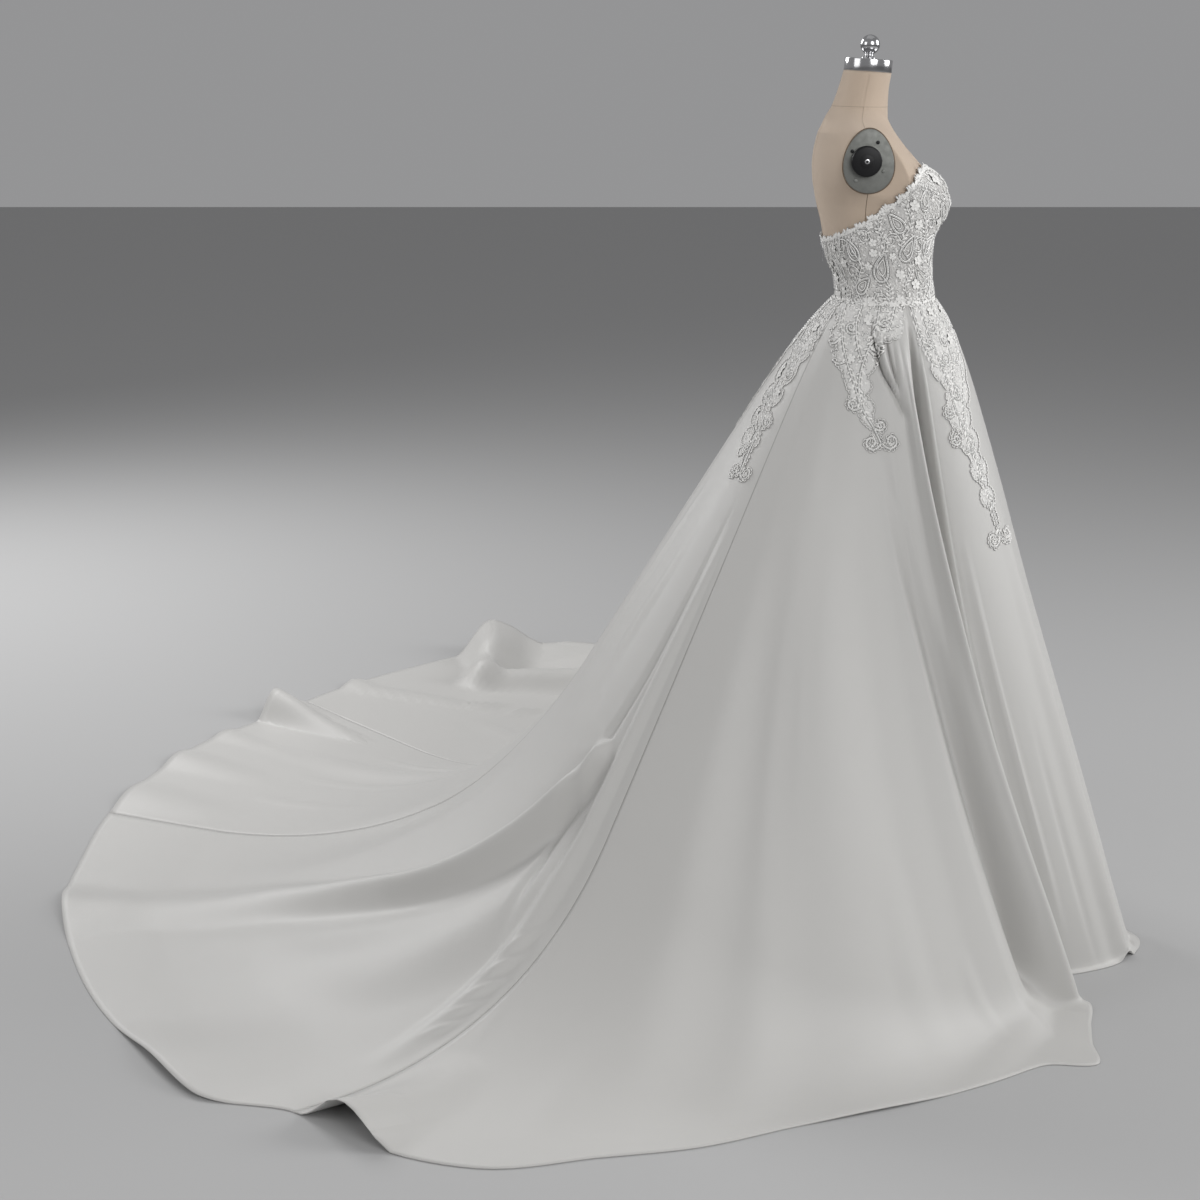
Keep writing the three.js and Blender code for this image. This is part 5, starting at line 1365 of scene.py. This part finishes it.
seams = seam_mesh("form_seams", [(side_seam(1330, 1385.5, side), 0.6) for side in (-1, 1)])
fine_seams = seam_mesh("form_seams_fine", [
    *[(side_seam(1488.5, NECK_SEAM, side), 0.35) for side in (-1, 1)],
    *[(on_form(np.full(160, turn), np.linspace(low, 1576, 160)), 0.35)
      for turn, low in ((180.0, 1300), (0.0, 1390))],
    (on_form(np.linspace(0, 360, 181), np.full(181, NECK_SEAM)), 0.3)])
finish_piece(seams, linen_seam, "linen")
finish_piece(fine_seams, linen_stitch, "linen")

# Edge of the cloth round each armhole plate
for suffix, side in (("right", -1), ("left", 1)):
    turn = np.linspace(0, 2 * math.pi, 121)
    rim = np.stack([PLATE_X + (PLATE_WIDE + 0.9) * (1 - PLATE_EGG * np.sin(turn)) * np.cos(turn),
                    np.full(121, side * (SIDE_CUT + 0.1)), PLATE_Z + (PLATE_HIGH + 0.9) * np.sin(turn)], -1)
    out = np.array([0.0, side, 0.0])
    across = np.cross(unit(np.gradient(rim, axis=0)), out)
    rows = np.stack([rim + 0.9 * (a * across + b * out) for a, b in ((-1, 0), (0, 0.6), (1, 0))], 1)
    edge = new_mesh(f"plate_edge_{suffix}", rows.reshape(-1, 3), strip_faces(121, 3))
    finish_piece(edge, linen_seam, "linen")


# Hard parts, in metres

def cylinder(name, radius, depth, vertices):
    bpy.ops.object.select_all(action="DESELECT")
    bpy.ops.mesh.primitive_cylinder_add(vertices=vertices, radius=radius, depth=depth, location=(0, 0, 0))
    piece = bpy.context.object
    piece.name = name
    return piece


def rounded(piece, width):
    """Rounds the edges, and shades the piece smooth between them."""
    bevel = piece.modifiers.new("edge", "BEVEL")
    bevel.width, bevel.segments, bevel.limit_method = width, 3, "ANGLE"
    bevel.angle_limit = math.radians(35)
    bpy.ops.object.select_all(action="DESELECT")
    piece.select_set(True)
    bpy.context.view_layer.objects.active = piece
    bpy.ops.object.modifier_apply(modifier=bevel.name)
    bpy.ops.object.shade_smooth_by_angle(angle=math.radians(32))


def drum(name, radius, depth, edge, place, vertices=96):
    """Flat cylinder with rounded edges that stands on its place."""
    piece = cylinder(name, radius, depth, vertices)
    piece.data.transform(Matrix.Translation((0, 0, depth / 2)))
    rounded(piece, edge)
    piece.data.transform(place)
    return piece


cap_place = (Matrix.Translation((NECK_CENTRE * MM, 0, NECK_TOP * MM)) @ Matrix.Rotation(NECK_TILT, 4, "Y")
              @ Matrix.Translation((0, 0, 0.0002)))
cap = drum("neck_cap_chrome", 0.0406, 0.021, 0.0014, cap_place, 128)
finish_piece(cap, chrome, "chrome", "neck_cap")

# Finial: foot and neck as radius and height, then the ball
profile = [(0.0125, 0.0212), (0.0125, 0.0226), (0.0118, 0.0232), (0.0088, 0.0240), (0.0073, 0.0258),
           (0.0066, 0.0272)]
BALL_MIDDLE, BALL_RADIUS = (1622 - 1578) * MM, 0.0165
for step in range(-66, 91, 6):
    turn = math.radians(step)
    profile.append((max(BALL_RADIUS * math.cos(turn), 0.0003), BALL_MIDDLE + BALL_RADIUS * math.sin(turn)))
AROUND = 64
points = [(r * math.cos(2 * math.pi * k / AROUND), r * math.sin(2 * math.pi * k / AROUND), z)
          for r, z in profile for k in range(AROUND)]
faces = [(a * AROUND + k, a * AROUND + (k + 1) % AROUND,
          (a + 1) * AROUND + (k + 1) % AROUND, (a + 1) * AROUND + k)
         for a in range(len(profile) - 1) for k in range(AROUND)]
faces += [tuple(range(AROUND))[::-1], tuple((len(profile) - 1) * AROUND + k for k in range(AROUND))]
finial = new_mesh("finial_chrome", np.array(points) / MM, faces)
finial.data.transform(cap_place)
finish_piece(finial, chrome, "chrome", "finial")


def egg_plate(name, side):
    """Armhole plate, wider below than above."""
    piece = cylinder(name, 1, 0.0028, 128)
    for vertex in piece.data.vertices:
        x, y = vertex.co.x, vertex.co.y
        vertex.co.x = PLATE_WIDE * MM * (1 - PLATE_EGG * y) * x
        vertex.co.y = PLATE_HIGH * MM * y
    rounded(piece, 0.0009)
    turn = Matrix.Rotation(math.radians(90), 4, "X")
    if side > 0:
        turn = Matrix.Rotation(math.pi, 4, "Z") @ turn @ Matrix.Scale(-1, 4, (1, 0, 0))
    piece.data.transform(
        Matrix.Translation((PLATE_X * MM, side * (SIDE_CUT + 1.6) * MM, PLATE_Z * MM)) @ turn)
    if side > 0:
        piece.data.flip_normals()
    return piece


# Knob's rings: radius, depth, where they start, edge; and screws: place on the plate
KNOB_X = -55.7
RINGS = (("rim", 0.0108, 0.0013, 0.0137, 0.0004, black, "black_plastic"),
         ("ring", 0.0040, 0.0010, 0.0149, 0.0003, nickel, "nickel"),
         ("ring_middle", 0.0022, 0.0009, 0.0154, 0.0002, black, "black_plastic"))
SCREWS = ((-28, 16, black, "black_plastic"), (13.5, 30, black, "black_plastic"),
          (-21, -31, steel, "steel"), (24, -16, steel, "steel"))
for suffix, side in (("right", -1), ("left", 1)):
    plate = egg_plate(f"armhole_plate_steel_{suffix}", side)
    finish_piece(plate, steel, "steel", f"armhole_plate_{suffix}")
    outward_turn = Matrix.Rotation(math.radians(90 if side < 0 else -90), 4, "X")
    knob_at = Matrix.Translation((KNOB_X * MM, side * (SIDE_CUT + 3.3) * MM, PLATE_Z * MM)) @ outward_turn
    knob = drum(f"armhole_knob_black_{suffix}", 0.025, 0.0138, 0.0032, knob_at)
    finish_piece(knob, black, "black_plastic", f"armhole_knob_{suffix}")
    for label, radius, depth, lift, edge, material, slot in RINGS:
        ring = drum(f"knob_{label}_{suffix}", radius, depth, edge,
                    knob_at @ Matrix.Translation((0, 0, lift)), 48)
        finish_piece(ring, material, slot)
    for n, (dx, dz, material, slot) in enumerate(SCREWS):
        screw_at = Matrix.Translation(((PLATE_X + dx) * MM, side * (SIDE_CUT + 3.0) * MM,
                                       (PLATE_Z + dz) * MM))
        screw = drum(f"plate_screw_{suffix}_{n + 1}", 0.0030, 0.0016, 0.0006, screw_at @ outward_turn, 32)
        finish_piece(screw, material, slot)

# Zip: tape, and teeth except where the slider is
ZIP_TOP, TAPE_HALF_WIDTH, TAPE_THICKNESS = 1293.7, 4, 1.6
SLIDER = (1271, 1286)
TOOTH_PITCH = 1.5
tape_z = np.linspace(BODICE_FOOT, ZIP_TOP, 60)
tape_y = np.linspace(-TAPE_HALF_WIDTH, TAPE_HALF_WIDTH, 7)
tape_x = section(180.0, tape_z, BODICE_OUT)[:, 0]
outer = np.stack(np.broadcast_arrays(tape_x[None, :], tape_y[:, None], tape_z[None, :]), -1)
inner = outer + np.array([TAPE_THICKNESS, 0, 0])
zip_cloth = cloth_shell("zip_tape_woven", outer, inner, outer[..., 1:] * MM)
finish_piece(zip_cloth, tape, "zip_tape", "zip_tape")
teeth_points, teeth_faces = [], []
for n, z in enumerate(np.arange(1202.0, 1293.0, TOOTH_PITCH)):
    if SLIDER[0] < z < SLIDER[1]:
        continue
    x = float(np.interp(z, tape_z, tape_x))
    sides = (-1.9, 0.5) if n % 2 else (-0.5, 1.9)
    base = len(teeth_points)
    teeth_points += [(x + dx, y, z + dz) for dx in (0.1, -0.7) for y in sides for dz in (-0.45, 0.45)]
    teeth_faces += [[base + k for k in f] for f in
                    ((0, 1, 3, 2), (4, 6, 7, 5), (0, 4, 5, 1), (2, 3, 7, 6), (0, 2, 6, 4), (1, 5, 7, 3))]
teeth = new_mesh("zip_teeth", teeth_points, teeth_faces, smooth=False)
finish_piece(teeth, nickel, "nickel")

# Solids of the CAD that are shown as they are
for node, material in (("stand_base", chrome), ("stand_pole", chrome), ("zip_slider", nickel),
                       ("zip_pull", nickel)):
    carried = bpy.data.objects[node]
    for slot in carried.material_slots:
        slot.material = material
    if not carried.material_slots:
        carried.data.materials.append(material)


bpy.context.view_layer.update()

# Camera and light
camera = bpy.data.cameras.new("photo_camera")
camera.lens = 50
camera.sensor_width = 50 * 1200 / 2100
eye = bpy.data.objects.new("photo_camera", camera)
bpy.context.scene.collection.objects.link(eye)
eye.location = (-0.49, -3.65, 1.60)
eye.rotation_euler = (math.pi / 2 - math.radians(14.47), 0, 0)
bpy.context.scene.camera = eye

bpy.ops.object.select_all(action="DESELECT")
bpy.ops.mesh.primitive_plane_add(size=40, location=(0, 0, -0.0005))
floor = bpy.context.object
floor.name = "studio_floor"
floor_material, _, floor_shader = nodes_of("pale_floor")
floor_shader.inputs["Base Color"].default_value = (0.45, 0.45, 0.45, 1)
floor_shader.inputs["Roughness"].default_value = 0.9
floor.data.materials.append(floor_material)


def area_light(name, place, target, power, size, color=(1, 1, 1)):
    light = bpy.data.lights.new(name, "AREA")
    light.energy, light.size, light.color = power, size, color
    lamp = bpy.data.objects.new(name, light)
    bpy.context.scene.collection.objects.link(lamp)
    lamp.location = place
    lamp.rotation_euler = (Vector(target) - Vector(place)).to_track_quat("-Z", "Y").to_euler()


area_light("window_behind_left", (-3.2, 3.0, 2.8), (-0.9, 0.9, 0.0), 96, 2.0)
area_light("soft_box_front", (1.6, -4.4, 3.0), (0, 0, 1.0), 106, 2.5)
area_light("soft_box_ahead", (4.2, 0.3, 2.6), (0, 0, 0.9), 104, 2.5)
area_light("soft_box_left", (-4.2, -2.2, 2.6), (-0.3, 0, 1.0), 34, 2.5)
area_light("soft_box_above", (0, 0.5, 5.0), (-0.2, 0.2, 0), 8, 3.5)
world = bpy.data.worlds.new("studio")
bpy.context.scene.world = world
world.use_nodes = True
world.node_tree.nodes["Background"].inputs[0].default_value = (0.62, 0.62, 0.63, 1)
world.node_tree.nodes["Background"].inputs[1].default_value = 0.48
bpy.context.scene.view_settings.view_transform = "Standard"
